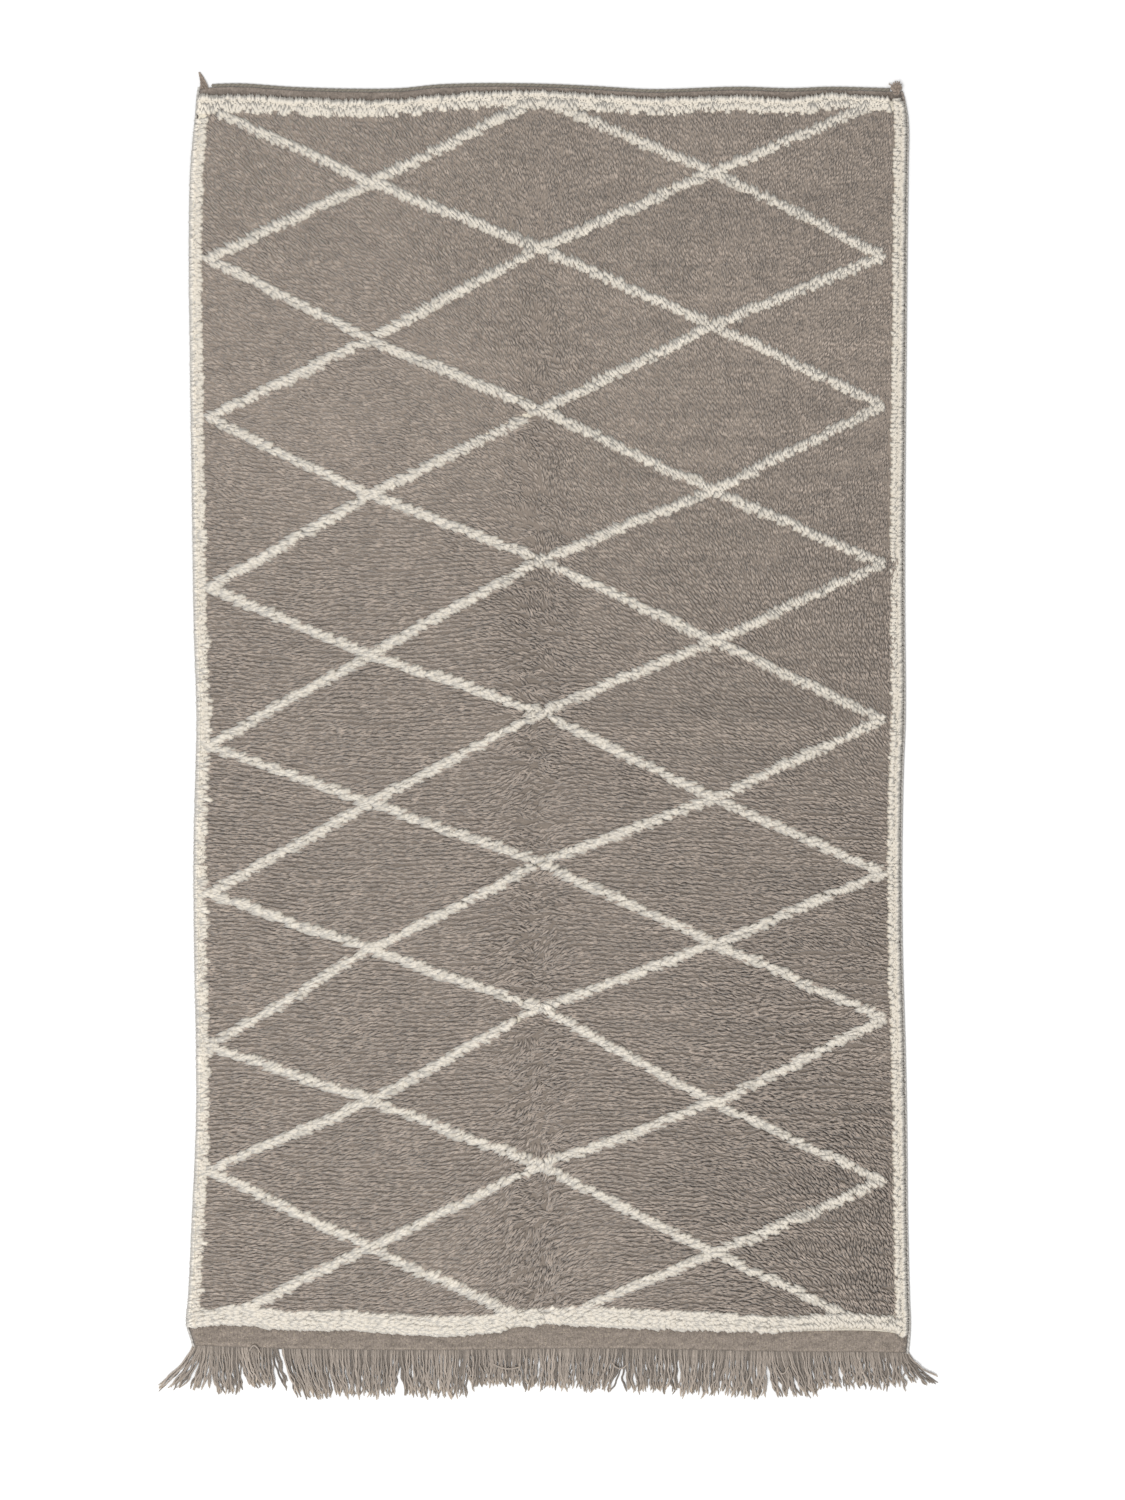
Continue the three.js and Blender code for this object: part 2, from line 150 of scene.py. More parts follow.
# Clumps of warp ends: X of both sides at the root and at the tips, Y of the tips, and strands.
FRINGE_CLUMPS = Table(
    "root_from root_to tip_from tip_to reach strands",
    (-742, -724, -817, -769, -1371, 4),
    (-723, -705, -759, -709, -1375, 5),
    (-703, -649, -698, -640, -1382, 8),
    (-647, -579, -623, -572, -1369, 9),
    (-573, -567, -551, -544, -1370, 1),
    (-554, -471, -523, -456, -1391, 11),
    (-466, -357, -449, -357, -1388, 16),
    (-352, -312, -352, -315, -1384, 6),
    (-308, -170, -304, -168, -1388, 20),
    (-166, -57, -162, -58, -1367, 16),
    (-52, 57, -52, 53, -1371, 16),
    (61, 157, 64, 137, -1377, 13),
    (162, 275, 164, 271, -1378, 16),
    (279, 380, 281, 367, -1384, 14),
    (384, 458, 376, 456, -1389, 11),
    (462, 500, 478, 531, -1386, 7),
    (504, 556, 538, 567, -1386, 7),
    (561, 741, 572, 752, -1371, 26),
    (742, 757, 766, 818, -1363, 4),
)

# Yarns that lie loose on the fringe, each through three places.
LOOSE_YARNS = Table(
    "x1 y1 x2 y2 x3 y3",
    (-113.4, -1316.7, -86.1, -1327.0, -56.7, -1323.0),
    (-623.7, -1289.4, -613.2, -1278.9, -600.6, -1295.7),
    (136.5, -1314.6, 153.3, -1327.2, 170.1, -1314.6),
    (480.9, -1318.8, 493.5, -1337.7, 506.1, -1323.0),
)

# Places of the lattice's nodes across the width, and their heights from the heading end down.
LATTICE_ACROSS = (-712.0, -372.0, -15.0, 349.0, 704.0)
LATTICE_NODES = Table(
    "left_tip left_crossing centre right_crossing right_tip",
    (1319, 1163, 1336, 1184, 1336),
    (1004, 832, 1025, 863, 1010),
    (668, 506, 685, 517, 695),
    (311, 170, 370, 202, 363),
    (-19, -141, 50, -130, 38),
    (-330, -449, -265, -435, -288),
    (-649, -764, -571, -769, -592),
    (-911, -1073, -901, -1084, -932),
    (-1237, -1389, -1237, -1400, -1247),
)

# Half a drawn line's width and its soft edge, as shares of the way from one line to the next.
LINE_SHARES = (0.020, 0.027)
# Half the width of the soft edge between a border and the field.
BORDER_BLUR = 1.5

# Direction that the locks lean in, anticlockwise from +X, at places across and along the rug.
NAP_ACROSS = (-676.0, -351.0, -141.0, -15.0, 111.0, 321.0, 531.0, 699.0)
NAP = Table(
    "y far_left left left_of_parting parting right_of_parting right far_right edge",
    (-1230, 178, 184, 188, 196, 184, 178, 160, 120),
    (-1121, 180, 200, 212, 235, 200, 180, 140, 110),
    (-932, 185, 196, 200, 222, 188, 175, 158, 135),
    (-743, 188, 194, 184, 205, 182, 178, 177, 175),
    (-239, 178, 190, 187, 195, 178, 176, 175, 172),
    (13, 180, 191, 186, 188, 170, 160, 145, 120),
    (265, 180, 190, 180, 160, 150, 130, 105, 88),
    (517, 166, 172, 152, 118, 130, 115, 92, 80),
    (769, 160, 163, 138, 108, 125, 112, 76, 68),
    (1021, 143, 140, 114, 98, 110, 108, 78, 64),
    (1273, 133, 127, 118, 102, 98, 105, 88, 74),
)
# How far the locks lie over, from 0, upright, to 1, flat, at the same places across.
LEAN = Table(
    "y far_left left left_of_parting parting right_of_parting right far_right edge",
    (-1121, 1.0, 1.0, 0.95, 0.80, 0.90, 0.90, 0.85, 0.60),
    (-239, 1.0, 1.0, 0.95, 0.75, 0.90, 0.90, 0.80, 0.60),
    (517, 0.95, 0.95, 0.85, 0.68, 0.75, 0.75, 0.65, 0.55),
    (1273, 0.85, 0.85, 0.82, 0.78, 0.78, 0.75, 0.70, 0.62),
)

# Long, low lumps of the pile: wavelengths across and along, phase in radians, and height.
LUMPS = Table(
    "across along phase height",
    (410, 640, 0.4, 0.7),
    (-260, 330, 1.9, 0.6),
    (150, -190, 3.1, 0.5),
)


class Wool(Enum):
    """The two wools of the pile."""

    TAUPE = "taupe"
    IVORY = "ivory"


class Side(Enum):
    """The two long sides of the rug, by the direction that leads out of it."""

    LEFT = -1
    RIGHT = 1


class Seed(Enum):
    """Starts of the random draws, one for each part of the rug."""

    PILE = 20
    GROUND = 21
    FRINGE = 22
    SELVEDGE = 23
    KNOT = 26
    LATTICE = 27

    def draws(self, offset: int = 0) -> np.random.Generator:
        """A new source of random numbers."""
        return np.random.default_rng(self.value + offset)


class SmoothCurve:
    """A cubic curve through the rows of a table, as the solids' edges follow it."""

    def __init__(self, places: Array, values: Array) -> None:
        """Keeps the curve's points.

        Args:
            places: the points' places, rising.
            values: the points' values.
        """
        self.places = places
        self.values = values

    def __call__(self, place: Array) -> Array:
        """The curve's value at each place.

        Between two points the curve is the cubic that runs through both, with the slope at each of
        the line through its two neighbours. Past the first and last point the slope is level.

        Args:
            place: the places, of any shape.

        Returns:
            The values, in the same shape.
        """
        t, v = self.places, self.values
        place = np.clip(place, t[0], t[-1])
        right = np.clip(np.searchsorted(t, place, side="right"), 1, len(t) - 1)
        left = right - 1
        before = np.where(left > 0, v[np.maximum(left - 1, 0)], v[right])
        after = np.where(right < len(t) - 1, v[np.minimum(right + 1, len(t) - 1)], v[left])
        span = t[right] - t[left]
        span_before = np.where(left > 0, t[left] - t[np.maximum(left - 1, 0)], span)
        span_after = np.where(right < len(t) - 1, t[np.minimum(right + 1, len(t) - 1)] - t[right], span)
        p = (place - t[left]) / span
        w_before = 0.5 * span / span_before
        w_after = 0.5 * span / span_after
        s_before = -w_before * p**3 + 2 * w_before * p**2 - w_before * p
        s_left = (1 + w_before) * p**3 + (-1.5 - 2 * w_before) * p**2 + (-0.5 + w_before) * p + 1
        s_right = (-1 - w_after) * p**3 + (1.5 + w_after) * p**2 + 0.5 * p
        s_after = w_after * p**3 - w_after * p**2
        return s_before * before + s_left * v[left] + s_right * v[right] + s_after * after


def smooth_step(value: Array, low: float, high: float) -> Array:
    """A smooth rise from 0 at low to 1 at high: 3 p squared less 2 p cubed, p the clipped share."""
    share = np.clip((value - low) / (high - low), 0, 1)
    return share * share * (3 - 2 * share)


def blend(low: Array | float, high: Array | float, share: Array) -> Array:
    """The value on the way from low to high: low plus the share of their difference."""
    return low + (high - low) * share


def between(values: Array, cell: tuple[Array, Array], part: tuple[Array, Array]) -> Array:
    """The value between the four nearest entries of a grid, each weighed by how near it lies.

    Args:
        values: the grid.
        cell: for both of its directions, the number of the entry before each place.
        part: the share of the way to the next entry.

    Returns:
        The values.
    """
    (i, j), (u, v) = cell, part
    low = values[i, j] * (1 - u) + values[i + 1, j] * u
    high = values[i, j + 1] * (1 - u) + values[i + 1, j + 1] * u
    return low * (1 - v) + high * v


class SmoothNoise:
    """Seeded random heights on a grid, blended smoothly between its points."""

    # Width and length of the area round the rug's middle that the grid covers.
    REACH = (2000.0, 3200.0)

    def __init__(self, rng: np.random.Generator, across: float, along: float) -> None:
        """Draws the grid.

        Args:
            rng: the source of random numbers.
            across: the grid's pitch in X.
            along: the grid's pitch in Y.
        """
        self.pitch = np.array((across, along))
        reach = np.array(self.REACH)
        self.origin = -reach / 2
        self.size = np.ceil(reach / self.pitch).astype(int) + 2
        self.heights = rng.uniform(-1, 1, self.size)

    def __call__(self, x: Array, y: Array) -> Array:
        """The height at each place: the four nearest heights, blended by the smooth step of its place.

        Args:
            x, y: the places.

        Returns:
            The heights, from -1 to 1.
        """
        place = (np.stack((x, y), -1) - self.origin) / self.pitch
        cell = np.clip(np.floor(place).astype(int), 0, self.size - 2)
        part = smooth_step(place - cell, 0, 1)
        return between(self.heights, np.moveaxis(cell, -1, 0), np.moveaxis(part, -1, 0))


def unit(vectors: Array) -> Array:
    """The vectors divided by their lengths."""
    return vectors / np.maximum(np.linalg.norm(vectors, axis=-1, keepdims=True), 1e-9)


def angles(count: int) -> Array:
    """Equal steps of a full turn, in radians."""
    return np.arange(count) * 2 * math.pi / count


@dataclass
class Outline:
    """The rug's edges and the height of its pile, as the solids have them."""

    selvedge_width: float = 6.0
    heading_width: float = 7.0
    gap: float = 0.3
    weave_thickness: float = 4.0
    pile_top: float = 15.0
    crease_x: float = -14.0
    crease_half_width: float = 34.0
    crease_depth: float = 3.0

    def __post_init__(self) -> None:
        """Makes the curves of the four edges."""
        side = SIDE_EDGES.column("y")
        self.left = SmoothCurve(side, SIDE_EDGES.column("left"))
        self.right = SmoothCurve(side, SIDE_EDGES.column("right"))
        heading = HEADING_END.column("x")
        self.heading_face = SmoothCurve(heading, HEADING_END.column("edge"))
        self.heading_pile = SmoothCurve(heading, HEADING_END.column("pile"))
        fringe = FRINGE_END.column("x")
        self.fringe_edge = SmoothCurve(fringe, FRINGE_END.column("edge"))
        self.fringe_pile = SmoothCurve(fringe, FRINGE_END.column("pile"))

    def ground_side(self, side: Side, y: Array) -> Array:
        """X of the woven ground's edge on one side."""
        edge = self.left(y) if side is Side.LEFT else self.right(y)
        return edge - side.value * (self.selvedge_width + self.gap)

    def rough_across(self, columns: int) -> tuple[Array, Array]:
        """Even steps from side to side, as wide as at the middle of the rug.

        Args:
            columns: how many steps.

        Returns:
            The shares of the way, and X there.
        """
        share = np.linspace(0, 1, columns + 1)
        left, right = (self.ground_side(side, 0.0) for side in Side)
        return share, left * (1 - share) + right * share

    def across(self, share: Array, y: Array, inset: float = 0.0) -> Array:
        """X at each share of the way from side to side, less an inset at both sides."""
        left = self.ground_side(Side.LEFT, y) + inset
        return blend(left, self.ground_side(Side.RIGHT, y) - inset, share)

    def ground_top(self, x: Array) -> Array:
        """Y of the woven ground's edge at the heading end."""
        return self.heading_face(x) - self.heading_width - self.gap

    def pile_height(self, x: Array, y: Array) -> Array:
        """Height of the pile: its level plus three long sine waves, less a bell-shaped crease.

        Args:
            x, y: the places.

        Returns:
            The heights over the floor.
        """
        height = np.full(np.shape(x), self.pile_top)
        for across, along, phase, rise in LUMPS.numbers:
            height = height + rise * np.sin((x / across + y / along) * 2 * math.pi + phase)
        dip = np.exp(-(((x - self.crease_x) / self.crease_half_width) ** 2))
        return height - self.crease_depth * dip


@dataclass
class Lattice:
    """The ivory lattice and borders of the pile, as two families of lines that zigzag across."""

    half_height: float = 7.8
    bow: float = 3.0
    wander_pitch: float = 60.0
    tip_reach: float = 4.0
    spare_nodes: int = 3
    left_border: float = 23.0
    right_border: float = 30.0
    heading_border: float = 29.0
    fringe_border: float = 43.0

    def __post_init__(self) -> None:
        """Lists each line's height at the five node columns, line after line from the top down.

        The nodes go on above and below the rug with the spacing of the last two. A line that rises
        to the right passes one node higher at each second column, and a falling one lower.
        """
        nodes = LATTICE_NODES.numbers
        spare = np.arange(1, self.spare_nodes + 1)[:, None]
        above = (nodes[0] + spare * (nodes[0] - nodes[1]))[::-1]
        below = nodes[-1] - spare * (nodes[-2] - nodes[-1])
        nodes = np.concatenate((above, nodes, below))
        columns = np.arange(nodes.shape[1])
        numbers = np.arange(len(nodes) - 2)[:, None]
        self.rising = nodes[numbers + np.array((2, 1, 1, 0, 0)), columns]
        self.falling = nodes[numbers + np.array((0, 0, 1, 1, 2)), columns]
        self.wander = SmoothNoise(Seed.LATTICE.draws(), self.wander_pitch, self.wander_pitch)

    @staticmethod
    def heights(family: Array, x: Array) -> Array:
        """Heights of a family's lines at each place across, straight from node column to column.

        Args:
            family: the lines' heights at the node columns.
            x: the places.

        Returns:
            One row for each place and one column for each line.
        """
        place = np.interp(x, LATTICE_ACROSS, np.arange(len(LATTICE_ACROSS)))
        column = np.minimum(place.astype(int), len(LATTICE_ACROSS) - 2)
        part = (place - column)[:, None]
        return family[:, column].T * (1 - part) + family[:, column + 1].T * part

    def bowed(self, x: Array, y: Array) -> Array:
        """Y of each place, moved as the lines wander, as a column beside the lines' heights."""
        return (y + self.bow * self.wander(x, y))[:, None]

    def phase(self, family: Array, x: Array, y: Array) -> Array:
        """Number of lines above each place, with the share of the way to the next line added."""
        heights = self.heights(family, x)
        return np.clip((heights[:, :-1] - self.bowed(x, y)) / -np.diff(heights), 0, 1).sum(1)

    def line_distance(self, x: Array, y: Array) -> Array:
        """How far along the rug each place lies from the middle of the nearest line."""
        heights = [self.heights(family, x) for family in (self.rising, self.falling)]
        return np.abs(np.concatenate(heights, 1) - self.bowed(x, y)).min(1)

    def is_line(self, x: Array, y: Array) -> Array:
        """Whether each place lies on a line, within half a line's height of its middle."""
        between_tips = (x > LATTICE_ACROSS[0] - self.tip_reach) & (x < LATTICE_ACROSS[-1] + self.tip_reach)
        return (self.line_distance(x, y) < self.half_height) & between_tips

    def first_depth(self, outline: Outline, x: Array, y: Array) -> Array:
        """How far each place lies inside the left, heading or fringe border.

        Args:
            outline: the rug's edges.
            x, y: the places.

        Returns:
            The depths, below 0 outside all three.
        """
        left = outline.left(y) + self.left_border - x
        top = y - outline.heading_pile(x) + self.heading_border
        bottom = outline.fringe_pile(x) + self.fringe_border - y
        return np.maximum(left, np.maximum(top, bottom))

    def border_depth(self, outline: Outline, x: Array, y: Array) -> Array:
        """How far each place lies inside the nearest of the four borders, or below 0 outside."""
        right = x - outline.right(y) + self.right_border
        return np.maximum(self.first_depth(outline, x, y), right)

    def dress(self, patch: "Patch", outline: Outline) -> None:
        """Gives a mesh the values from which a material draws the lattice and the borders.

        Args:
            patch: the mesh.
            outline: the rug's edges.
        """
        x, y = patch.points[:, 0], patch.points[:, 1]
        patch.values["rising"] = self.phase(self.rising, x, y)
        patch.values["falling"] = self.phase(self.falling, x, y)
        patch.values["border"] = self.border_depth(outline, x, y)


@dataclass
class Patch:
    """One piece's mesh before it is written: points, faces and what its material reads."""

    points: Array
    faces: list[Array] = field(default_factory=list)
    maps: dict[str, list[Array]] = field(default_factory=dict)
    values: dict[str, Array] = field(default_factory=dict)

    def add_faces(self, faces: Array, *maps: Array) -> None:
        """Adds faces of one kind.

        Args:
            faces: an array of one row of point numbers for each face.
            maps: the faces' places on the surface map and the bake map, a pair for each corner.
        """
        self.faces.append(faces)
        for name, places in zip((SURFACE_MAP, BAKE_MAP), maps):
            self.maps.setdefault(name, []).append(np.asarray(places, float).reshape(-1, 2))

    def keep_above(self, height: float) -> None:
        """Raises the points that lie lower than a height over the floor to that height."""
        self.points[:, 2] = np.maximum(self.points[:, 2], height)

    def piece(self, name: str, material: Material) -> Piece:
        """Writes the mesh.

        Args:
            name: the new object's name.
            material: its material.

        Returns:
            The object, at the origin.
        """
        mesh = bpy.data.meshes.new(name)
        corners = np.concatenate([kind.ravel() for kind in self.faces])
        sizes = np.concatenate([np.full(len(kind), kind.shape[1]) for kind in self.faces])
        mesh.vertices.add(len(self.points))
        mesh.vertices.foreach_set("co", (self.points * METRE).astype(np.float32).ravel())
        mesh.loops.add(len(corners))
        mesh.loops.foreach_set("vertex_index", corners.astype(np.int32))
        mesh.polygons.add(len(sizes))
        mesh.polygons.foreach_set("loop_start", np.r_[0, np.cumsum(sizes)[:-1]].astype(np.int32))
        mesh.polygons.foreach_set("use_smooth", np.ones(len(sizes), bool))
        for map_name, places in self.maps.items():
            layer = mesh.uv_layers.new(name=map_name, do_init=False)
            layer.uv.foreach_set("vector", np.concatenate(places).astype(np.float32).ravel())
        for value_name, numbers in self.values.items():
            attribute = mesh.attributes.new(value_name, "FLOAT", "POINT")
            attribute.data.foreach_set("value", numbers.astype(np.float32))
        mesh.update(calc_edges=True)
        mesh.validate()
        mesh.materials.append(material)
        made = bpy.data.objects.new(name, mesh)
        bpy.context.scene.collection.objects.link(made)
        return made


@dataclass
class CellSheet:
    """Equal cells side by side on the unit square, one for each lock, yarn or stretch of a cord."""

    count: int
    aspect: float
    margin: float = 0.06

    def __post_init__(self) -> None:
        """Works out how many cells lie in a row, from how much longer than wide a cell should be."""
        self.columns = max(1, round(math.sqrt(self.count / self.aspect)))
        self.rows = math.ceil(self.count / self.columns)

    def places(self, cell: Array, along: Array, across: Array) -> Array:
        """Places on the square.

        Args:
            cell: the number of each face's cell.
            along: for each corner of each face, its share of the cell's length.
            across: the same for the cell's width.

        Returns:
            A pair of coordinates for each corner.
        """
        inner = 1 - 2 * self.margin
        column = (cell % self.columns)[:, None]
        row = (cell // self.columns)[:, None]
        u = (column + self.margin + inner * along) / self.columns
        v = (row + self.margin + inner * across) / self.rows
        return np.stack((u, v), -1)


class Value:
    """One output of a material's node, with arithmetic that adds Math nodes."""

    def __init__(self, nodes: "Nodes", socket: bpy.types.NodeSocket) -> None:
        """Keeps the output and the material's nodes."""
        self.nodes = nodes
        self.socket = socket

    def math(self, operation: str, *others: Number) -> "Value":
        """A Math node with this value first and the others after it."""
        inputs = dict(enumerate((self, *others)))
        return self.nodes.node("ShaderNodeMath", {"operation": operation}, inputs)

    def reflected(self, operation: str, other: float) -> "Value":
        """A Math node with a plain number first and this value second."""
        return self.nodes.node("ShaderNodeMath", {"operation": operation}, {0: other, 1: self})

    def __add__(self, other: Number) -> "Value":
        """The sum."""
        return self.math("ADD", other)

    def __radd__(self, other: float) -> "Value":
        """The sum with a plain number first."""
        return self.reflected("ADD", other)

    def __sub__(self, other: Number) -> "Value":
        """The difference."""
        return self.math("SUBTRACT", other)

    def __rsub__(self, other: float) -> "Value":
        """The difference from a plain number."""
        return self.reflected("SUBTRACT", other)

    def __mul__(self, other: Number) -> "Value":
        """The product."""
        return self.math("MULTIPLY", other)

    def __rmul__(self, other: float) -> "Value":
        """The product with a plain number first."""
        return self.reflected("MULTIPLY", other)

    def __truediv__(self, other: Number) -> "Value":
        """The quotient."""
        return self.math("DIVIDE", other)

    def __pow__(self, other: Number) -> "Value":
        """This value to a power."""
        return self.math("POWER", other)


class Nodes:
    """A material's node tree, with one method that adds any node."""

    def __init__(self, name: str) -> None:
        """Makes an empty material.

        Args:
            name: the material's name.
        """
        self.material = bpy.data.materials.new(name)
        self.material.use_nodes = True
        self.tree = self.material.node_tree
        self.tree.nodes.clear()

    def node(
        self,
        kind: str,
        settings: dict | None = None,
        inputs: dict | None = None,
        output: int | str = 0,
    ) -> Value:
        """Adds a node.

        Args:
            kind: the node's type.
            settings: its properties.
            inputs: the values or links of its sockets, by name or number.
            output: the name or number of the output that is wanted.

        Returns:
            That output.
        """
        made = self.tree.nodes.new(kind)
        for name, setting in (settings or {}).items():
            setattr(made, name, setting)
        for name, given in (inputs or {}).items():
            if isinstance(given, Value):
                self.tree.links.new(given.socket, made.inputs[name])
            else:
                made.inputs[name].default_value = given
        return Value(self, made.outputs[output])

    def split(self, place: Value) -> tuple[Value, Value]:
        """The first two coordinates of a place."""
        first = self.node("ShaderNodeSeparateXYZ", inputs={"Vector": place})
        return first, Value(self, first.socket.node.outputs[1])

    def surface_place(self) -> tuple[Value, Value]:
        """The two coordinates of the piece's own surface map."""
        return self.split(self.node("ShaderNodeUVMap", {"uv_map": SURFACE_MAP}, output="UV"))

    @cached_property
    def plan(self) -> tuple[Value, Value]:
        """X and Y in the rug's frame, in millimetres."""
        place = self.node("ShaderNodeTexCoord", output="Object")
        return self.split(self.scale(place, 1 / METRE))

    def attribute(self, name: str) -> Value:
        """A number that the mesh holds at its points."""
        return self.node("ShaderNodeAttribute", {"attribute_name": name}, output="Fac")

    def noise(self, x: Number, y: Number, layer: Number, detail: float = 2.0) -> Value:
        """Smooth noise.

        Args:
            x: its first coordinate.
            y: its second coordinate.
            layer: its third coordinate, which tells one noise from another.
            detail: how many finer noises are added.

        Returns:
            The noise, from 0 to 1.
        """
        place = self.node("ShaderNodeCombineXYZ", inputs={0: x, 1: y, 2: layer})
        inputs = {"Vector": place, "Scale": 1.0, "Detail": detail, "Roughness": 0.55}
        return self.node("ShaderNodeTexNoise", {"noise_dimensions": "3D"}, inputs, output="Fac")

    def spots(self, size: Span, layer: Number, detail: float = 2.0) -> Value:
        """Smooth noise over the rug's plan, with spots of a size in millimetres."""
        return self.noise(self.plan[0] / size[0], self.plan[1] / size[1], layer, detail)

    def step(self, value: Value, low: float, high: float) -> Value:
        """A smooth rise from 0 at low to 1 at high."""
        inputs = {"Value": value, "From Min": low, "From Max": high}
        return self.node("ShaderNodeMapRange", {"interpolation_type": "SMOOTHSTEP"}, inputs)

    def mix(self, share: Number, first: "Value | Colour", second: "Value | Colour") -> Value:
        """A colour between two others."""
        ends = [end if isinstance(end, Value) else (*end, 1.0) for end in (first, second)]
        return self.node("ShaderNodeMix", {"data_type": "RGBA"}, {0: share, 6: ends[0], 7: ends[1]}, output=2)

    def scale(self, vector: Value, factor: Number) -> Value:
        """A colour made lighter or darker, or a longer or shorter vector."""
        return self.node("ShaderNodeVectorMath", {"operation": "SCALE"}, {0: vector, "Scale": factor})

    def ivory_share(self) -> Value:
        """Draws the lattice and the borders.

        A line is drawn within its half width of each whole phase, between the lattice's outer tips,
        and a border inside its edge.

        Returns:
            The share of ivory, from 0 to 1.
        """
        nearest = [self.attribute(name).math("PINGPONG", 0.5) for name in ("rising", "falling")]
        line = 1 - self.step(nearest[0].math("MINIMUM", nearest[1]), *LINE_SHARES)
        middle = (LATTICE_ACROSS[0] + LATTICE_ACROSS[-1]) / 2
        aside = (self.plan[0] - middle).math("ABSOLUTE")
        line = line * aside.math("LESS_THAN", LATTICE_ACROSS[-1] - middle)
        return line.math("MAXIMUM", self.step(self.attribute("border"), -BORDER_BLUR, BORDER_BLUR))

    def bump(self, height: Value, depth: float, strength: float) -> Value:
        """A normal from a height of 0 to 1 that stands for a depth in millimetres."""
        inputs = {"Height": height, "Distance": depth * METRE, "Strength": strength}
        return self.node("ShaderNodeBump", inputs=inputs, output="Normal")

    def finish(self, **inputs: "Value | Colour | float") -> Material:
        """Ends the material in a shader.

        Args:
            inputs: values or links of the shader's sockets, with _ for each space in a name.

        Returns:
            The material.
        """
        sockets = {name.replace("_", " "): given for name, given in inputs.items()}
        shader = self.node("ShaderNodeBsdfPrincipled", inputs=sockets)
        end = self.tree.nodes.new("ShaderNodeOutputMaterial")
        self.tree.links.new(shader.socket, end.inputs["Surface"])
        return self.material

    def wool(self, colour: Value, normal: Value, sheen: float = 0.3) -> Material:
        """Ends the material in a matt, fuzzy surface.

        Args:
            colour: its colour.
            normal: its normal.
            sheen: how much its loose fibres catch the light at the edges.

        Returns:
            The material.
        """
        return self.finish(
            Base_Color=colour,
            Normal=normal,
            Roughness=0.95,
            Specular_IOR_Level=0.2,
            Sheen_Weight=sheen,
            Sheen_Roughness=0.6,
        )


@dataclass(frozen=True)
class PileWool:
    """Finish of the knotted pile: roots painted darker as shade, lighter tips, fine fibres along each lock.
    """

    name: str
    root: Colour
    tip: Colour
    fibre_contrast: float
    mottle: float
    fibre_depth: float
    mottle_size: float = 14.0
    fibres_across: float = 4.0
    fibres_along: float = 2.5
    seed_stride: float = 97.0
    tip_shares: Span = (0.15, 0.72)
    bump_strength: float = 0.7

    def material(self) -> Material:
        """Makes the finish: each lock's tone times its fibres and broad mottling, of uneven wool and painted
        shade.

        Returns:
            The material.
        """
        nodes = Nodes(self.name)
        across, along = nodes.surface_place()
        layer = nodes.attribute("seed") * self.seed_stride
        fine = nodes.noise(across * self.fibres_across, along * self.fibres_along, layer, detail=3.0)
        # Broad mottling: partly the wool's uneven tone, partly painted shade for the dark gaps between tufts.
        patches = nodes.spots((self.mottle_size, self.mottle_size), layer=0.5, detail=4.0)
        # Painted shade: the colour darkens from tip to root, as shade deep in the pile.
        colour = nodes.mix(nodes.step(along, *self.tip_shares), self.root, self.tip)
        fibre = 1 + (fine - 0.5) * self.fibre_contrast
        patch = 1 + (patches - 0.5) * self.mottle
        colour = nodes.scale(colour, nodes.attribute("tone") * fibre * patch)
        return nodes.wool(colour, nodes.bump(fine, self.fibre_depth, self.bump_strength))


@dataclass(frozen=True)
class BedWool:
    """Finish of the dense mat at the foot of the locks, in the lattice's colours, with painted light where
    calm.
    """

    name: str
    taupe: Colour
    ivory: Colour
    calm_painted_light: float = 0.22
    fibre_width: float = 1.7
    fibre_length: float = 8.0
    darkest: float = 0.62
    fibre_contrast: float = 0.7
    depth: float = 3.0

    def material(self) -> Material:
        """Makes the finish, with fibres drawn out along the nap.

        Returns:
            The material.
        """
        nodes = Nodes(self.name)
        sideways = nodes.attribute("sideways")
        across = nodes.spots((self.fibre_length, self.fibre_width), layer=0.0, detail=3.0)
        along = nodes.spots((self.fibre_width, self.fibre_length), layer=4.0, detail=3.0)
        fibre = across * sideways + along * (1 - sideways)
        colour = nodes.mix(nodes.ivory_share(), self.taupe, self.ivory)
        # Painted light: the mat is lighter where the pile is calm, as less shade falls between the locks
        # there.
        calm = 1 + nodes.attribute("calm") * self.calm_painted_light
        colour = nodes.scale(colour, (self.darkest + fibre * self.fibre_contrast) * calm)
        return nodes.wool(colour, nodes.bump(fibre, self.depth, 1.0))


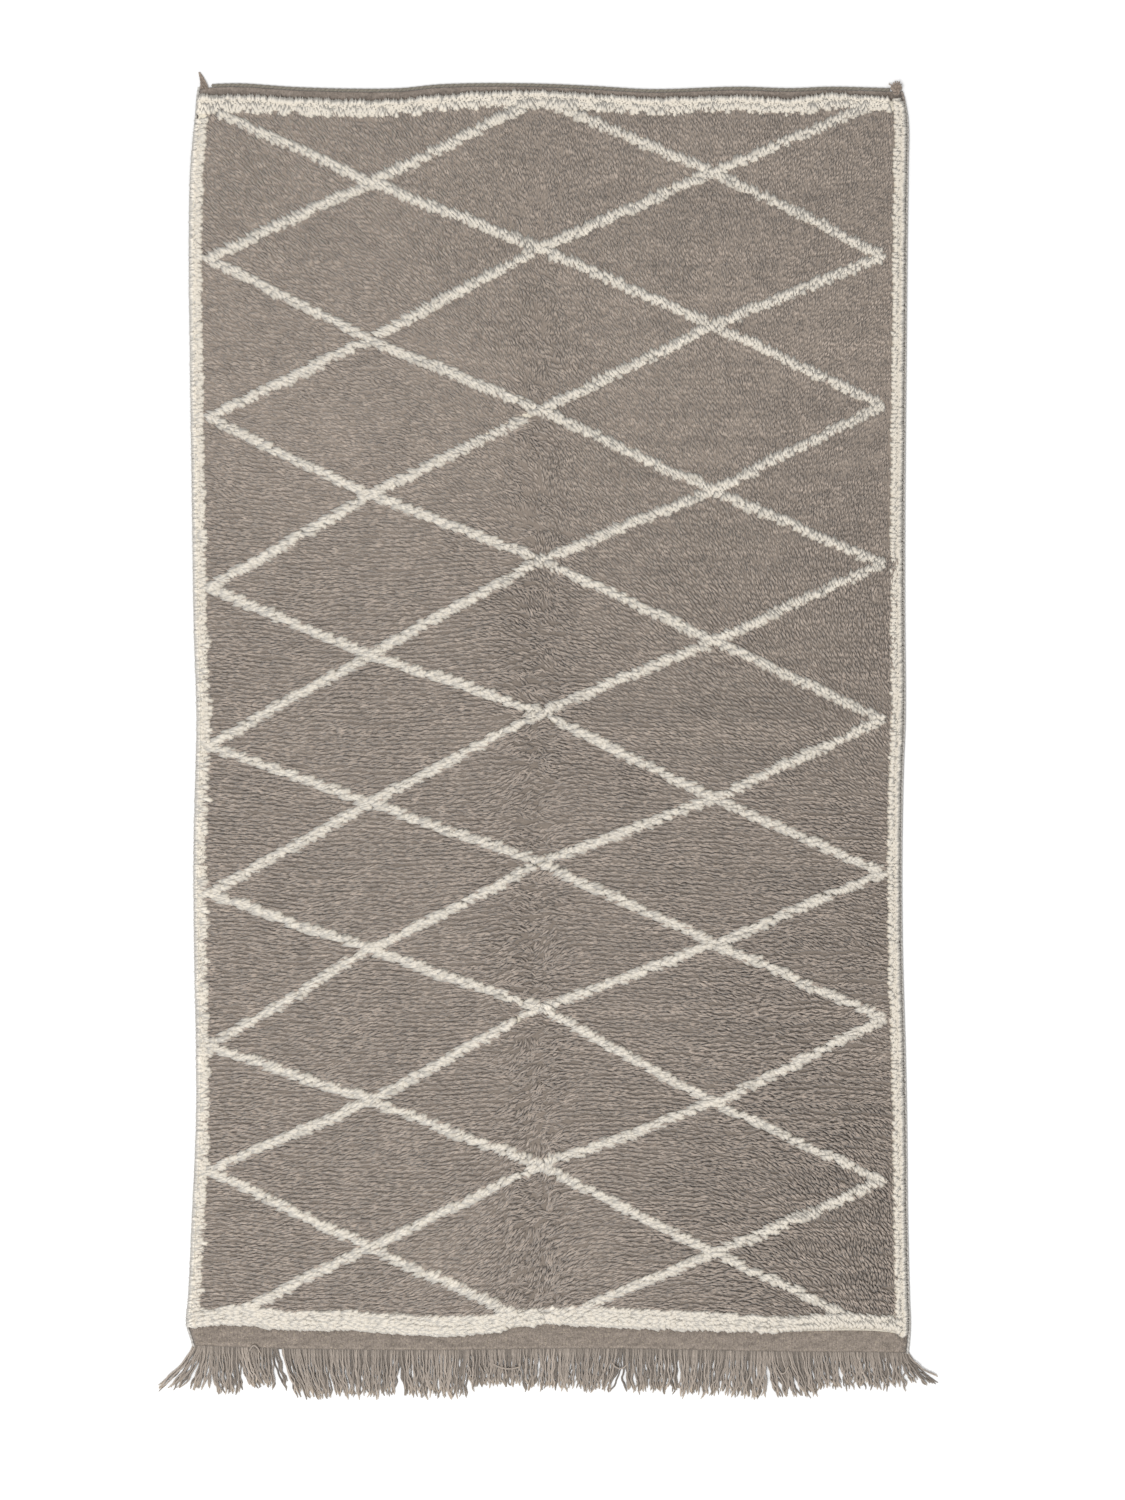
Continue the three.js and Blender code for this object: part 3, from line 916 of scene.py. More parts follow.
@dataclass(frozen=True)
class FlatWeave:
    """Finish of the woven ground: ribbed ends on its face, and rows of knot backs underneath."""

    name: str
    face: Colour
    groove: Colour
    back_ivory: Colour
    fleck: Colour
    rib_pitch: float = 4.6
    weft_pitch: float = 2.4
    knot_pitch: float = 8.3
    row_pitch: float = 9.7
    rib_wobble: float = 7.0
    weft_wobble: float = 4.0
    thread_relief: float = 0.06
    hair_relief: float = 0.9
    knot_relief: float = 0.8
    back_relief: float = 0.3
    relief_steps: Span = (0.25, 0.8)
    knot_steps: Span = (0.2, 0.5)
    fleck_steps: Span = (0.56, 0.68)
    fleck_strength: float = 0.7
    darkest: float = 0.54
    patch_contrast: float = 1.0
    heading_run: float = 400.0
    heading_shade: float = -0.06
    depth: float = 2.2

    def material(self) -> Material:
        """Makes the finish, with light flecks at the fringe end.

        Returns:
            The material.
        """
        nodes = Nodes(self.name)
        x, y = nodes.plan
        under = nodes.attribute("under")
        wobble = nodes.spots((14.0, 20.0), layer=2.0) - 0.5
        rib = self.ridges(x + wobble * self.rib_wobble, self.rib_pitch)
        weft = self.ridges(y + wobble * self.weft_wobble, self.weft_pitch)
        grain = nodes.spots((1.4, 1.4), layer=0.0, detail=3.0)
        blotch = nodes.spots((4.2, 7.0), layer=7.0, detail=3.0)
        threads = rib * self.thread_relief + weft * self.thread_relief
        face_height = threads + (grain - 0.5) * self.hair_relief + (blotch - 0.5) * self.hair_relief + 0.5
        knot = self.ridges(x, self.knot_pitch / 2) * self.ridges(y, self.row_pitch) ** 0.5
        back_height = knot * self.knot_relief + grain * self.back_relief
        height = face_height * (1 - under) + back_height * under
        heading = nodes.step(y, 0.0, self.heading_run)
        ivory = nodes.ivory_share() * under * nodes.step(knot, *self.knot_steps)
        # The relief's low parts take the groove colour: partly the wool's mottling, partly painted shade in
        # the hollows.
        colour = nodes.mix(nodes.step(height, *self.relief_steps), self.groove, self.face)
        colour = nodes.mix(ivory, colour, self.back_ivory)
        fleck = nodes.step(nodes.spots((5.5, 2.6), layer=11.0), *self.fleck_steps) * (1 - heading)
        colour = nodes.mix(fleck * (1 - under) * self.fleck_strength, colour, self.fleck)
        shade = self.darkest + nodes.spots((26.0, 12.0), layer=5.0) * self.patch_contrast
        shade = shade * (1 - heading * self.heading_shade) * self.end_lines(nodes)
        return nodes.wool(nodes.scale(colour, shade), nodes.bump(height, self.depth, 0.9), sheen=0.2)

    @staticmethod
    def end_lines(nodes: Nodes) -> Value:
        """Shades the last wefts, by how far in millimetres they lie from the cloth's ends.

        At the fringe there is a dark frayed line with a light weft inside it. By the heading a painted
        shadow of the locks, a dark line deeper towards the right, lies beside the pile.

        Args:
            nodes: the material's nodes.

        Returns:
            The shade, about 1.
        """
        from_fringe = nodes.attribute("from_fringe")
        fray = 1 - 0.30 * (1 - nodes.step(from_fringe, 1.0, 4.0))
        weft = 1 + 0.12 * nodes.step(from_fringe, 3.0, 5.0) * (1 - nodes.step(from_fringe, 6.5, 8.5))
        from_heading = nodes.attribute("from_heading")
        # Painted shadow: a dark band beside the heading pile, deeper towards the right, as if cast by the
        # locks.
        right = nodes.step(nodes.plan[0], 100.0, 560.0)
        pile_shadow = nodes.step(from_heading, 5.0, 9.0) * (1 - nodes.step(from_heading, 19.0, 26.0))
        return fray * weft * (1 - pile_shadow * (0.05 + right * 0.14))

    @staticmethod
    def ridges(place: Value, pitch: float) -> Value:
        """Rounded ridges: the absolute sine of the place, one ridge to each pitch."""
        return (place * (math.pi / pitch)).math("SINE").math("ABSOLUTE")


@dataclass(frozen=True)
class PliedYarn:
    """Finish of a cord or yarn: slanted plies along it, with painted shade in the grooves between them."""

    name: str
    ply: Colour
    groove: Colour
    end: Colour
    turn_length: float
    plies: float = 2.0
    depth: float = 0.8
    fray_from: float = 0.8
    ply_relief: float = 0.75
    grain_relief: float = 0.35
    relief_steps: Span = (0.1, 0.8)
    grain_size: float = 1.1
    grain_length: float = 3.0
    end_strength: float = 0.8
    darkest: float = 0.88
    grain_contrast: float = 0.24

    def material(self) -> Material:
        """Makes the finish. Its map holds turns round the yarn, and millimetres along it.

        Returns:
            The material.
        """
        nodes = Nodes(self.name)
        around, along = nodes.surface_place()
        slant = around * self.plies + along / self.turn_length
        ply = (slant * math.pi).math("SINE").math("ABSOLUTE")
        grain = nodes.spots((self.grain_size, self.grain_size), along / self.grain_length, detail=3.0)
        height = ply * self.ply_relief + grain * self.grain_relief
        # Painted shade: the low parts between the plies take the darker groove colour.
        colour = nodes.mix(nodes.step(height, *self.relief_steps), self.groove, self.ply)
        worn = nodes.step(nodes.attribute("share"), self.fray_from, 1.0)
        colour = nodes.mix(worn * self.end_strength, colour, self.end)
        colour = nodes.scale(colour, nodes.attribute("tone") * (self.darkest + grain * self.grain_contrast))
        return nodes.wool(colour, nodes.bump(height, self.depth, 0.8), sheen=0.25)


@dataclass(frozen=True)
class PlainFloor:
    """Finish of the pale studio floor."""

    name: str = "studio_floor"
    colour: Colour = (0.88, 0.88, 0.88)

    def material(self) -> Material:
        """The finish as a material."""
        return Nodes(self.name).finish(Base_Color=(*self.colour, 1.0), Roughness=0.9, Specular_IOR_Level=0.0)


# The darker root colours of both wools are painted shade deep in the pile.
TAUPE_PILE = PileWool(
    "taupe_pile_wool",
    root=(0.225, 0.184, 0.150),
    tip=(0.345, 0.286, 0.238),
    fibre_contrast=0.55,
    mottle=0.90,
    fibre_depth=0.9,
)
IVORY_PILE = PileWool(
    "ivory_pile_wool",
    root=(0.54, 0.465, 0.36),
    tip=(0.67, 0.62, 0.54),
    fibre_contrast=0.14,
    mottle=0.05,
    fibre_depth=0.2,
)
# The mat's taupe is as dark as the locks' roots: painted shade at the foot of the pile.
PILE_BED = BedWool("pile_bed_wool", taupe=(0.235, 0.194, 0.160), ivory=(0.66, 0.60, 0.49))
GROUND_WEAVE = FlatWeave(
    "flat_woven_wool",
    face=(0.28, 0.233, 0.197),
    groove=(0.13, 0.107, 0.088),
    back_ivory=(0.78, 0.74, 0.66),
    fleck=(0.40, 0.335, 0.25),
)
FRINGE_YARN = PliedYarn(
    "fringe_yarn_wool",
    ply=(0.33, 0.281, 0.238),
    groove=(0.24, 0.203, 0.171),
    end=(0.44, 0.362, 0.28),
    turn_length=11.0,
)
# The overcast sides have no plies along them, so their turn is endless.
# With an endless turn the dark groove colour falls on both flanks of the cord: painted shade, with a lighter
# top.
SELVEDGE_YARN = PliedYarn(
    "overcast_side_wool",
    ply=(0.50, 0.475, 0.44),
    groove=(0.09, 0.085, 0.08),
    end=(0.25, 0.20, 0.165),
    turn_length=1e6,
    fray_from=0.1,
)
HEADING_YARN = PliedYarn(
    "twined_heading_wool",
    ply=(0.215, 0.192, 0.155),
    groove=(0.135, 0.122, 0.097),
    end=(0.2, 0.18, 0.14),
    turn_length=9.0,
)
CORNER_YARN = PliedYarn(
    "corner_yarn_wool",
    ply=(0.29, 0.232, 0.187),
    groove=(0.16, 0.125, 0.10),
    end=(0.34, 0.275, 0.225),
    turn_length=9.0,
)


def grid_faces(across: int, along: int) -> Array:
    """Quads of a grid of points that runs across first, facing up where along lies left of across.

    Args:
        across: points in a row.
        along: number of rows.

    Returns:
        Four point numbers for each quad, row after row.
    """
    i, j = np.meshgrid(np.arange(across - 1), np.arange(along - 1))
    corner = (j * across + i).ravel()
    return np.stack((corner, corner + 1, corner + across + 1, corner + across), 1)


@dataclass
class Tubes:
    """Many closed tubes of equal numbers of rings, as one mesh."""

    paths: Array
    radii: Array
    strips: int = 1
    reference: tuple[float, float, float] = (0.0, 0.0, 1.0)
    end_bulge: float = 0.6
    end_edge: float = 0.02
    cell_aspect: float = 7.0

    def __post_init__(self) -> None:
        """Measures along the tubes, and lays out the bake map.

        Many tubes have a cell each in rows, and the strips of one long tube lie in one column.
        """
        self.count, self.rings, self.sides = self.radii.shape
        lengths = np.linalg.norm(np.diff(self.paths, axis=1), axis=2)
        self.distance = np.concatenate((np.zeros((self.count, 1)), np.cumsum(lengths, 1)), 1)
        aspect = self.cell_aspect if self.strips == 1 else math.inf
        self.sheet = CellSheet(self.count * self.strips, aspect)

    def patch(self, tone: Array | None = None) -> Patch:
        """The tubes' surfaces.

        A point of a ring is the path's point, plus the ring's radius at that angle times the cosine
        of the angle along the tube's side vector, and times the sine along its upper vector.

        Args:
            tone: how light each tube is, or None for all alike.

        Returns:
            The mesh, with a blunt cone at both ends of each tube.
        """
        tangent = unit(np.gradient(self.paths, axis=1))
        side = unit(np.cross(np.broadcast_to(self.reference, tangent.shape), tangent))
        upper = np.cross(tangent, side)
        angle = angles(self.sides)[:, None]
        out = side[:, :, None, :] * np.cos(angle) + upper[:, :, None, :] * np.sin(angle)
        walls = self.paths[:, :, None, :] + out * self.radii[..., None]
        end_radius = self.radii.mean(2)[:, (0, -1), None]
        bulge = np.array([[-self.end_bulge], [self.end_bulge]])
        ends = self.paths[:, (0, -1)] + tangent[:, (0, -1)] * end_radius * bulge
        made = Patch(np.concatenate((walls.reshape(-1, 3), ends.reshape(-1, 3))))
        self.add_walls(made)
        self.add_ends(made)
        share = self.distance / self.distance[:, -1:]
        rims = np.repeat(share.ravel(), self.sides)
        made.values["share"] = np.r_[rims, np.tile((0.0, 1.0), self.count)]
        tones = np.ones(self.count) if tone is None else tone
        made.values["tone"] = np.r_[np.repeat(tones, self.rings * self.sides), np.repeat(tones, 2)]
        return made

    def add_walls(self, made: Patch) -> None:
        """Adds the quads between the rings, with their places on both maps.

        Args:
            made: the mesh that gets them.
        """
        counts = (self.count, self.rings - 1, self.sides)
        tube, ring, place = (index.ravel() for index in np.indices(counts))
        after = (place + 1) % self.sides
        base = (tube * self.rings + ring) * self.sides
        above = base + self.sides
        faces = np.stack((base + place, base + after, above + after, above + place), 1)
        around = np.stack((place, place + 1, place + 1, place), 1) / self.sides
        rings_of = np.stack((ring, ring, ring + 1, ring + 1), 1)
        surface = np.stack((around, self.distance[tube[:, None], rings_of]), -1)
        steps = math.ceil((self.rings - 1) / self.strips)
        strip = ring // steps
        along = (rings_of - (strip * steps)[:, None]) / steps
        made.add_faces(faces, surface, self.sheet.places(tube * self.strips + strip, along, around))

    def add_ends(self, made: Patch) -> None:
        """Adds the fans that close both ends of each tube, on the outer edges of its cells.

        Args:
            made: the mesh that gets them.
        """
        tube, place = (index.ravel() for index in np.indices((self.count, self.sides)))
        after = (place + 1) % self.sides
        around = np.stack((place, place + 1, place + 0.5), 1) / self.sides
        first_end = self.radii.size
        near, far = self.end_edge, 1 - self.end_edge
        for number, ring, along in ((0, 0, (near, near, 0.0)), (1, self.rings - 1, (far, far, 1.0))):
            base = (tube * self.rings + ring) * self.sides
            pair = (base + place, base + after) if number else (base + after, base + place)
            faces = np.stack((*pair, first_end + 2 * tube + number), 1)
            surface = np.stack((around, np.repeat(self.distance[tube, ring][:, None], 3, 1)), -1)
            cell = tube * self.strips + (self.strips - 1) * number
            bake = self.sheet.places(cell, np.tile(along, (len(tube), 1)), around)
            made.add_faces(faces, surface, bake)


@dataclass
class Tufts:
    """What the knots of the pile have in common with their strands, one entry for each."""

    x: Array
    y: Array
    outward: Array
    angle: Array
    reach: Array
    calm: Array
    curly: Array
    hold: Array
    gather: Array
    lift: Array
    tone: Array
    ivory: Array

    def repeat(self, each: Array) -> "Tufts":
        """The same for each strand, by the number of its knot."""
        return Tufts(**{name: values[each] for name, values in vars(self).items()})


@dataclass
class Strands:
    """The strands of the pile: five points each, with wool, tone, seed and their knot's X."""

    points: Array
    ivory: Array
    tone: Array
    seed: Array
    x: Array


@dataclass
class Pile:
    """The knotted pile: a small fan of tapering strands for each knot, row after row.

    Fields that start with ivory, calm, curly or parting hold where the pile is so.
    """

    outline: Outline
    lattice: Lattice
    # The rows of knots.
    row_pitch: float = 9.7
    knot_pitch: float = 10.6
    bare_sides: float = 17.0
    rough_sides: Span = (-738.0, 750.0)
    end_insets: Span = (7.0, 13.0)
    side_inset: float = 2.5
    row_wave: float = 3.6
    straight_rows: float = 8.0
    # How far the locks reach, and their direction.
    strands: int = 3
    ivory_strands: int = 4
    reach: float = 30.0
    upright_reach: float = 12.0
    border_lean: float = 0.75
    knot_reach_spread: float = 0.09
    strand_reach_spread: float = 0.10
    left_comb: Span = (48.0, 36.0)
    heading_comb: Span = (62.0, 46.0)
    outward_turn: float = 24.0
    crossing: float = 0.55
    leftward: float = 0.1
    scatter: float = 4.0
    parting_scatter: float = 26.0
    curly_scatter: float = 6.0
    swirl_gain: float = 1.5
    own_scatter: float = 0.35
    curl_turn: float = 20.0
    parting_turn: float = 34.0
    parting_curl: float = 0.9
    fan: float = -6.0
    loose_turn: float = 2.0
    steady_turn: float = 0.4
    # Places of the strands about their knot.
    row_spread: float = 5.0
    ivory_row_spread: float = 7.5
    golden_share: float = 0.618034
    root_spread: float = 0.5
    own_share: float = 0.22
    slide: float = 0.75
    least_fit: float = 0.15
    loose_rim: Span = (-2.5, 1.5)
    right_overhang: float = 1.5
    heading_overhang: float = 3.0
    fringe_overhang: float = 1.0
    # Clumps, and how high the locks lie.
    tuft: float = 0.5
    curl_tuft: float = 0.6
    streak_gain: float = 1.7
    gather: float = 8.0
    clump_lift: float = 1.6
    lift_limit: float = 1.5
    knot_lift: float = 0.4
    strand_lift: float = 0.5
    calm_hold: float = 0.75
    calm_damping: float = 0.5
    curly_gain: float = 0.5
    ivory_hold: float = 0.2
    row_crown: float = 2.7
    curly_crown: float = 0.45
    ivory_crown: float = 0.4
    # A strand's width and height, and its bend as shares of its reach and rise.
    strand_width: float = 5.2
    calm_width: float = 6.0
    ivory_width: float = 13.0
    width_shares: Span = (0.85, 1.15)
    strand_height: float = 1.8
    ivory_height: float = 0.7
    bend_advance: float = 0.58
    ivory_bend_advance: float = 0.42
    bend_rise: float = 0.92
    calm_bend_rise: float = 0.84
    ivory_bend_rise: float = 0.98
    tilt: float = 0.25
    curl: float = 0.8
    calm_steadiness: float = 0.35
    root_depth: float = 1.0
    lowest: float = 1.5
    # Tones: near the lattice's lines, painted light in the left and heading borders, in patches and at
    # random.
    shown_share: float = 0.66
    line_softness: float = 0.20
    line_glow: float = 0.12
    soft_from: float = 0.3
    glow_to: float = 2.0
    pale_left: Span = (34.0, 20.0)
    pale_heading: Span = (50.0, 30.0)
    heading_painted_light: float = 0.5
    painted_light: float = 0.16
    patch_tone: float = 0.12
    tone_spread: float = 0.06
    # The rim, the border on the right, and where the pile is parted, curly or calm.
    rim_run: float = 10.0
    rim_share: float = 0.70
    end_rim: Span = (-4.0, 12.0)
    side_border_roots: float = 36.0
    parting_half_width: float = 60.0
    parting_fade: Span = (-1500.0, -500.0)
    curly_across: Span = (50.0, 600.0)
    curly_along: Span = (-300.0, 900.0)
    calm_along: Span = (150.0, 700.0)
    parting_unrest: float = 0.7
    sideways_along: Span = (350.0, -150.0)
    strips: int = 4

    # A strand's points: 0 its root, 1 left, 2 upper and 3 right of its bend, 4 its tip.
    FACES = np.array(((0, 2, 1), (0, 3, 2), (0, 1, 3), (1, 2, 4), (2, 3, 4), (3, 1, 4)))
    ALONG = np.array((0.0, 0.5, 0.5, 0.5, 1.0))
    ACROSS = np.array((0.5, 0.0, 0.5, 1.0, 0.5))
    # Pitches across and along of the swirl, wave, ridge, streak and whorl noises.
    PITCHES = ((46, 46), (60, 60), (34, 12), (9, 24), (15, 12))
    # How far aside the whorls are read for turns and for tones, so that the three differ.
    TURN_SHIFT, TONE_SHIFT = 500, 900

    def __post_init__(self) -> None:
        """Draws the smooth noises that gather the locks into clumps and waves."""
        self.rng = Seed.PILE.draws()
        noises = (SmoothNoise(self.rng, *pitch) for pitch in self.PITCHES)
        self.swirl, self.wave, self.ridge, self.streak, self.whorl = noises

    def knots(self) -> tuple[Array, Array]:
        """Places of the knots.

        Rows run from side to side between the two ends of the pile and wave a little. Knots lie
        evenly along them.

        Returns:
            X and Y of each knot.
        """
        length = HEADING_END.column("pile").mean() - FRINGE_END.column("pile").mean()
        width = SIDE_EDGES.column("right").mean() - SIDE_EDGES.column("left").mean() - self.bare_sides
        rows, knots = round(length / self.row_pitch), round(width / self.knot_pitch)
        row, knot = (index.ravel() for index in np.indices((rows, knots)))
        share = (knot + 0.5) / knots
        rough_x = blend(*self.rough_sides, share)
        low = self.outline.fringe_pile(rough_x) + self.end_insets[0]
        high = self.outline.heading_pile(rough_x) - self.end_insets[1]
        y = low + (high - low) * (row + 0.5) / rows
        inner = smooth_step(row, 0, self.straight_rows) * smooth_step(rows - 1 - row, 0, self.straight_rows)
        y = y + self.row_wave * inner * self.wave(rough_x, y)
        return self.outline.across(share, y, self.side_inset), y

    @staticmethod
    def field(table: Table, x: Array, y: Array, change: Callable[[Array], Array] = np.asarray) -> Array:
        """A table's value at each place, blended between its rows and columns.

        Args:
            table: the table, with its rows' heights in the first column.
            x, y: the places.
            change: what is done to the table's numbers before they are blended.

        Returns:
            The values.
        """
        column = np.interp(x, NAP_ACROSS, np.arange(len(NAP_ACROSS)))
        row = np.interp(y, table.column("y"), np.arange(len(table.numbers)))
        i = np.minimum(column.astype(int), len(NAP_ACROSS) - 2)
        j = np.minimum(row.astype(int), len(table.numbers) - 2)
        return between(change(table.numbers[:, 1:]).T, (i, j), (column - i, row - j))

    def nap(self, x: Array, y: Array) -> Array:
        """Direction of the nap, blended from the table as unit vectors.

        Args:
            x, y: the places.

        Returns:
            The directions in radians.
        """
        sine = self.field(NAP, x, y, lambda angle: np.sin(np.radians(angle)))
        cosine = self.field(NAP, x, y, lambda angle: np.cos(np.radians(angle)))
        return np.arctan2(sine, cosine)

    def comb(self, x: Array, y: Array, outward: Array) -> Array:
        """Direction of the nap, turned outward in the borders.

        A unit vector of the table's direction is blended with one that points out of the left side
        or the heading end. In the right border it points out of the rug, and the further in, the
        more it turns towards the heading.

        Args:
            x, y: the places.
            outward: 0 where the right border starts, 1 at the rug's edge, and below 0 in the field.

        Returns:
            The directions in radians.
        """
        nap = self.nap(x, y)
        vector = np.stack((np.cos(nap), np.sin(nap)))
        for share, target in (
            (smooth_step(x - self.outline.left(y), *self.left_comb), (-1.0, 0.0)),
            (smooth_step(self.outline.heading_pile(x) - y, *self.heading_comb), (0.0, 1.0)),
        ):
            vector = vector * (1 - share) + np.array(target)[:, None] * share
        turned = np.radians(self.outward_turn) * (1 - outward)
        return np.where(outward > 0, turned, np.arctan2(vector[1], vector[0]))

    def shorten(self, root: Array, advance: Array) -> Array:
        """How much of each strand's reach fits inside the rug's outline, with a loose rim.

        Args:
            root: places of the roots in X and Y.
            advance: the strands' reach in X and Y.

        Returns:
            The share of the reach that fits, from the least fit to 1.
        """
        x, y = root.T
        dx, dy = advance.T
        loose = self.rng.uniform(*self.loose_rim, len(x))
        left = self.outline.left(y) - loose
        right = self.outline.ground_side(Side.RIGHT, y) + self.right_overhang + loose
        top = self.outline.heading_pile(x) + self.heading_overhang + 2 * loose
        bottom = self.outline.fringe_pile(x) - self.fringe_overhang - loose
        least = 1e-6
        across = np.where(dx < 0, (left - x) / np.minimum(dx, -least), (right - x) / np.maximum(dx, least))
        along = np.where(dy < 0, (bottom - y) / np.minimum(dy, -least), (top - y) / np.maximum(dy, least))
        return np.clip(np.minimum(across, along), self.least_fit, 1)

    def rim(self, x: Array, y: Array) -> Array:
        """Share of the pile's height near its edges, which rises smoothly from the rim inward.

        Args:
            x, y: the places.

        Returns:
            The shares.
        """
        sides = np.minimum(x - self.outline.left(y), self.outline.right(y) - self.outline.selvedge_width - x)
        ends = np.minimum(self.outline.heading_pile(x) - y, y - self.outline.fringe_pile(x))
        side_share = blend(self.rim_share, 1, smooth_step(sides, 0, self.rim_run))
        return np.minimum(side_share, blend(self.rim_share, 1, smooth_step(ends, *self.end_rim)))

    def stand(self, places: Array) -> Array:
        """How high the pile stands over the woven ground at places in X and Y."""
        x, y = places.T
        return (self.outline.pile_height(x, y) - self.outline.weave_thickness) * self.rim(x, y)

    def shown(self, x: Array, y: Array, angle: Array, reach: Array) -> Array:
        """X and Y of where most of each lock shows, on the way from its root to its tip."""
        ahead = np.stack((np.cos(angle), np.sin(angle))) * reach * self.shown_share
        return np.stack((x, y)) + ahead

    def pattern(self, x: Array, y: Array) -> Array:
        """Whether the locks that show at each place are ivory."""
        return self.lattice.is_line(x, y) | (self.lattice.first_depth(self.outline, x, y) > 0)

    def line_tone(self, x: Array, y: Array) -> Array:
        """Tone of the locks near the lattice's lines.

        Ivory locks are darker towards a line's edge, and the taupe ones just beyond it paler, as
        where locks of both wools mix. The borders keep a tone of 1.

        Args:
            x, y: where the locks show.

        Returns:
            The tones.
        """
        away = self.lattice.line_distance(x, y)
        half = self.lattice.half_height
        inside = -self.line_softness * smooth_step(away, self.soft_from * half, half)
        outside = self.line_glow * smooth_step(-away, -self.glow_to * half, -half)
        free = self.lattice.border_depth(self.outline, x, y) < 0
        return 1 + free * np.where(away < half, inside, outside)

    def parting(self, x: Array, y: Array) -> Array:
        """How near the parting down the middle a place is, from 0 to 1, less towards the heading."""
        bell = np.exp(-(((x - self.outline.crease_x) / self.parting_half_width) ** 2))
        return bell * smooth_step(-y, *self.parting_fade)

    def curly(self, x: Array, y: Array) -> Array:
        """How curly the pile is, rising smoothly towards the right and the fringe."""
        return smooth_step(x, *self.curly_across) * smooth_step(-y, *self.curly_along)

    def calm(self, x: Array, y: Array) -> Array:
        """How calm the pile is, from 0 below the middle to 1 in the upper half, less at the parting."""
        return smooth_step(y, *self.calm_along) * (1 - self.parting_unrest * self.parting(x, y))

    def clumps(self, x: Array, y: Array, nap: Array, curly: Array) -> Array:
        """Height and slope of the smooth noise that gathers locks into clumps.

        The noise is long across the rug below the middle and where the nap lies sideways, and long
        along it elsewhere. Round tufts are added, and more where the pile is curly.

        Args:
            x, y: the places.
            nap: the nap's direction there.
            curly: how curly the pile is there.

        Returns:
            The height and its slopes in X and Y.
        """
        sideways = np.maximum(np.cos(nap) ** 2, smooth_step(y, *self.sideways_along))

        def height(at_x: Array, at_y: Array) -> Array:
            """The blended noise.

            Args:
                at_x, at_y: the places.

            Returns:
                The heights.
            """
            streaks = (1 - sideways) * self.streak_gain * self.streak(at_x, at_y)
            combed = sideways * self.ridge(at_x, at_y) + streaks
            return combed + (self.tuft + self.curl_tuft * curly) * self.whorl(at_x, at_y)

        slope_x = (height(x + 1, y) - height(x - 1, y)) / 2
        slope_y = (height(x, y + 1) - height(x, y - 1)) / 2
        return np.stack((height(x, y), slope_x, slope_y))

    def tufts(self) -> Tufts:
        """Works out every knot.

        Its direction is the nap's, turned by a smooth swirl, by whorls where the pile is curly or
        parted, and at random. The clumps' slope gathers its tips, and their height lifts them. The
        right border's locks lean out of the rug. Where the field's lean leftward, the border's inner
        knots have a second lock that does so too.

        Returns:
            The knots.
        """
        x, y = self.knots()
        rng = self.rng
        border = (x - self.outline.right(y)) / self.side_border_roots + 1
        doubled = (border > 0) & (border < self.crossing) & (np.cos(self.nap(x, y)) < self.leftward)
        x, y = np.r_[x, x[doubled]], np.r_[y, y[doubled]]
        border = np.r_[border, np.full(doubled.sum(), -1.0)]
        count, outward = len(x), border > 0
        nap = self.comb(x, y, border)
        lean = np.where(outward, self.border_lean, self.field(LEAN, x, y))
        reach = blend(self.upright_reach, self.reach, lean)
        ivory = self.pattern(*self.shown(x, y, nap, reach)) | outward
        calm, parting, curly = self.calm(x, y), self.parting(x, y), self.curly(x, y) * ~outward
        scatter = np.radians(self.scatter + self.parting_scatter * parting + self.curly_scatter * curly)
        own = self.own_scatter * rng.normal(size=count)
        angle = nap + scatter * (self.swirl_gain * self.swirl(x, y) + own)
        reach = reach * (1 + self.knot_reach_spread * rng.normal(size=count))
        curly = np.maximum(self.parting_curl * parting, curly)
        turn = np.radians(self.curl_turn * curly + self.parting_turn * parting)
        angle = angle + turn * self.whorl(x + self.TURN_SHIFT, y)
        clump, *slope = self.clumps(x, y, nap, curly)
        hold = np.where(ivory, self.ivory_hold, 1.0)
        rough = (1 - (1 - self.calm_hold) * calm) * (1 + self.curly_gain * curly) * hold
        gather = (self.gather * rough)[:, None] * np.stack(slope, 1)
        lift = self.lift_limit * np.tanh(self.clump_lift * rough * clump / self.lift_limit)
        lift = lift + self.knot_lift * hold * (1 - self.calm_damping * calm) * rng.normal(size=count)
        # Painted light: ivory locks are made lighter towards the left side and the heading end.
        pale = smooth_step(self.outline.left(y) + self.pale_left[0] - x, 0, self.pale_left[1])
        depth = y - self.outline.heading_pile(x) + self.pale_heading[0]
        pale = np.maximum(pale, self.heading_painted_light * smooth_step(depth, 0, self.pale_heading[1]))
        tone = 1 + self.painted_light * pale * ivory + self.tone_spread * hold * rng.normal(size=count)
        tone = tone + self.patch_tone * hold * self.whorl(x + self.TONE_SHIFT, y)
        return Tufts(x, y, outward, angle, reach, calm, curly, hold, gather, lift, tone, ivory)

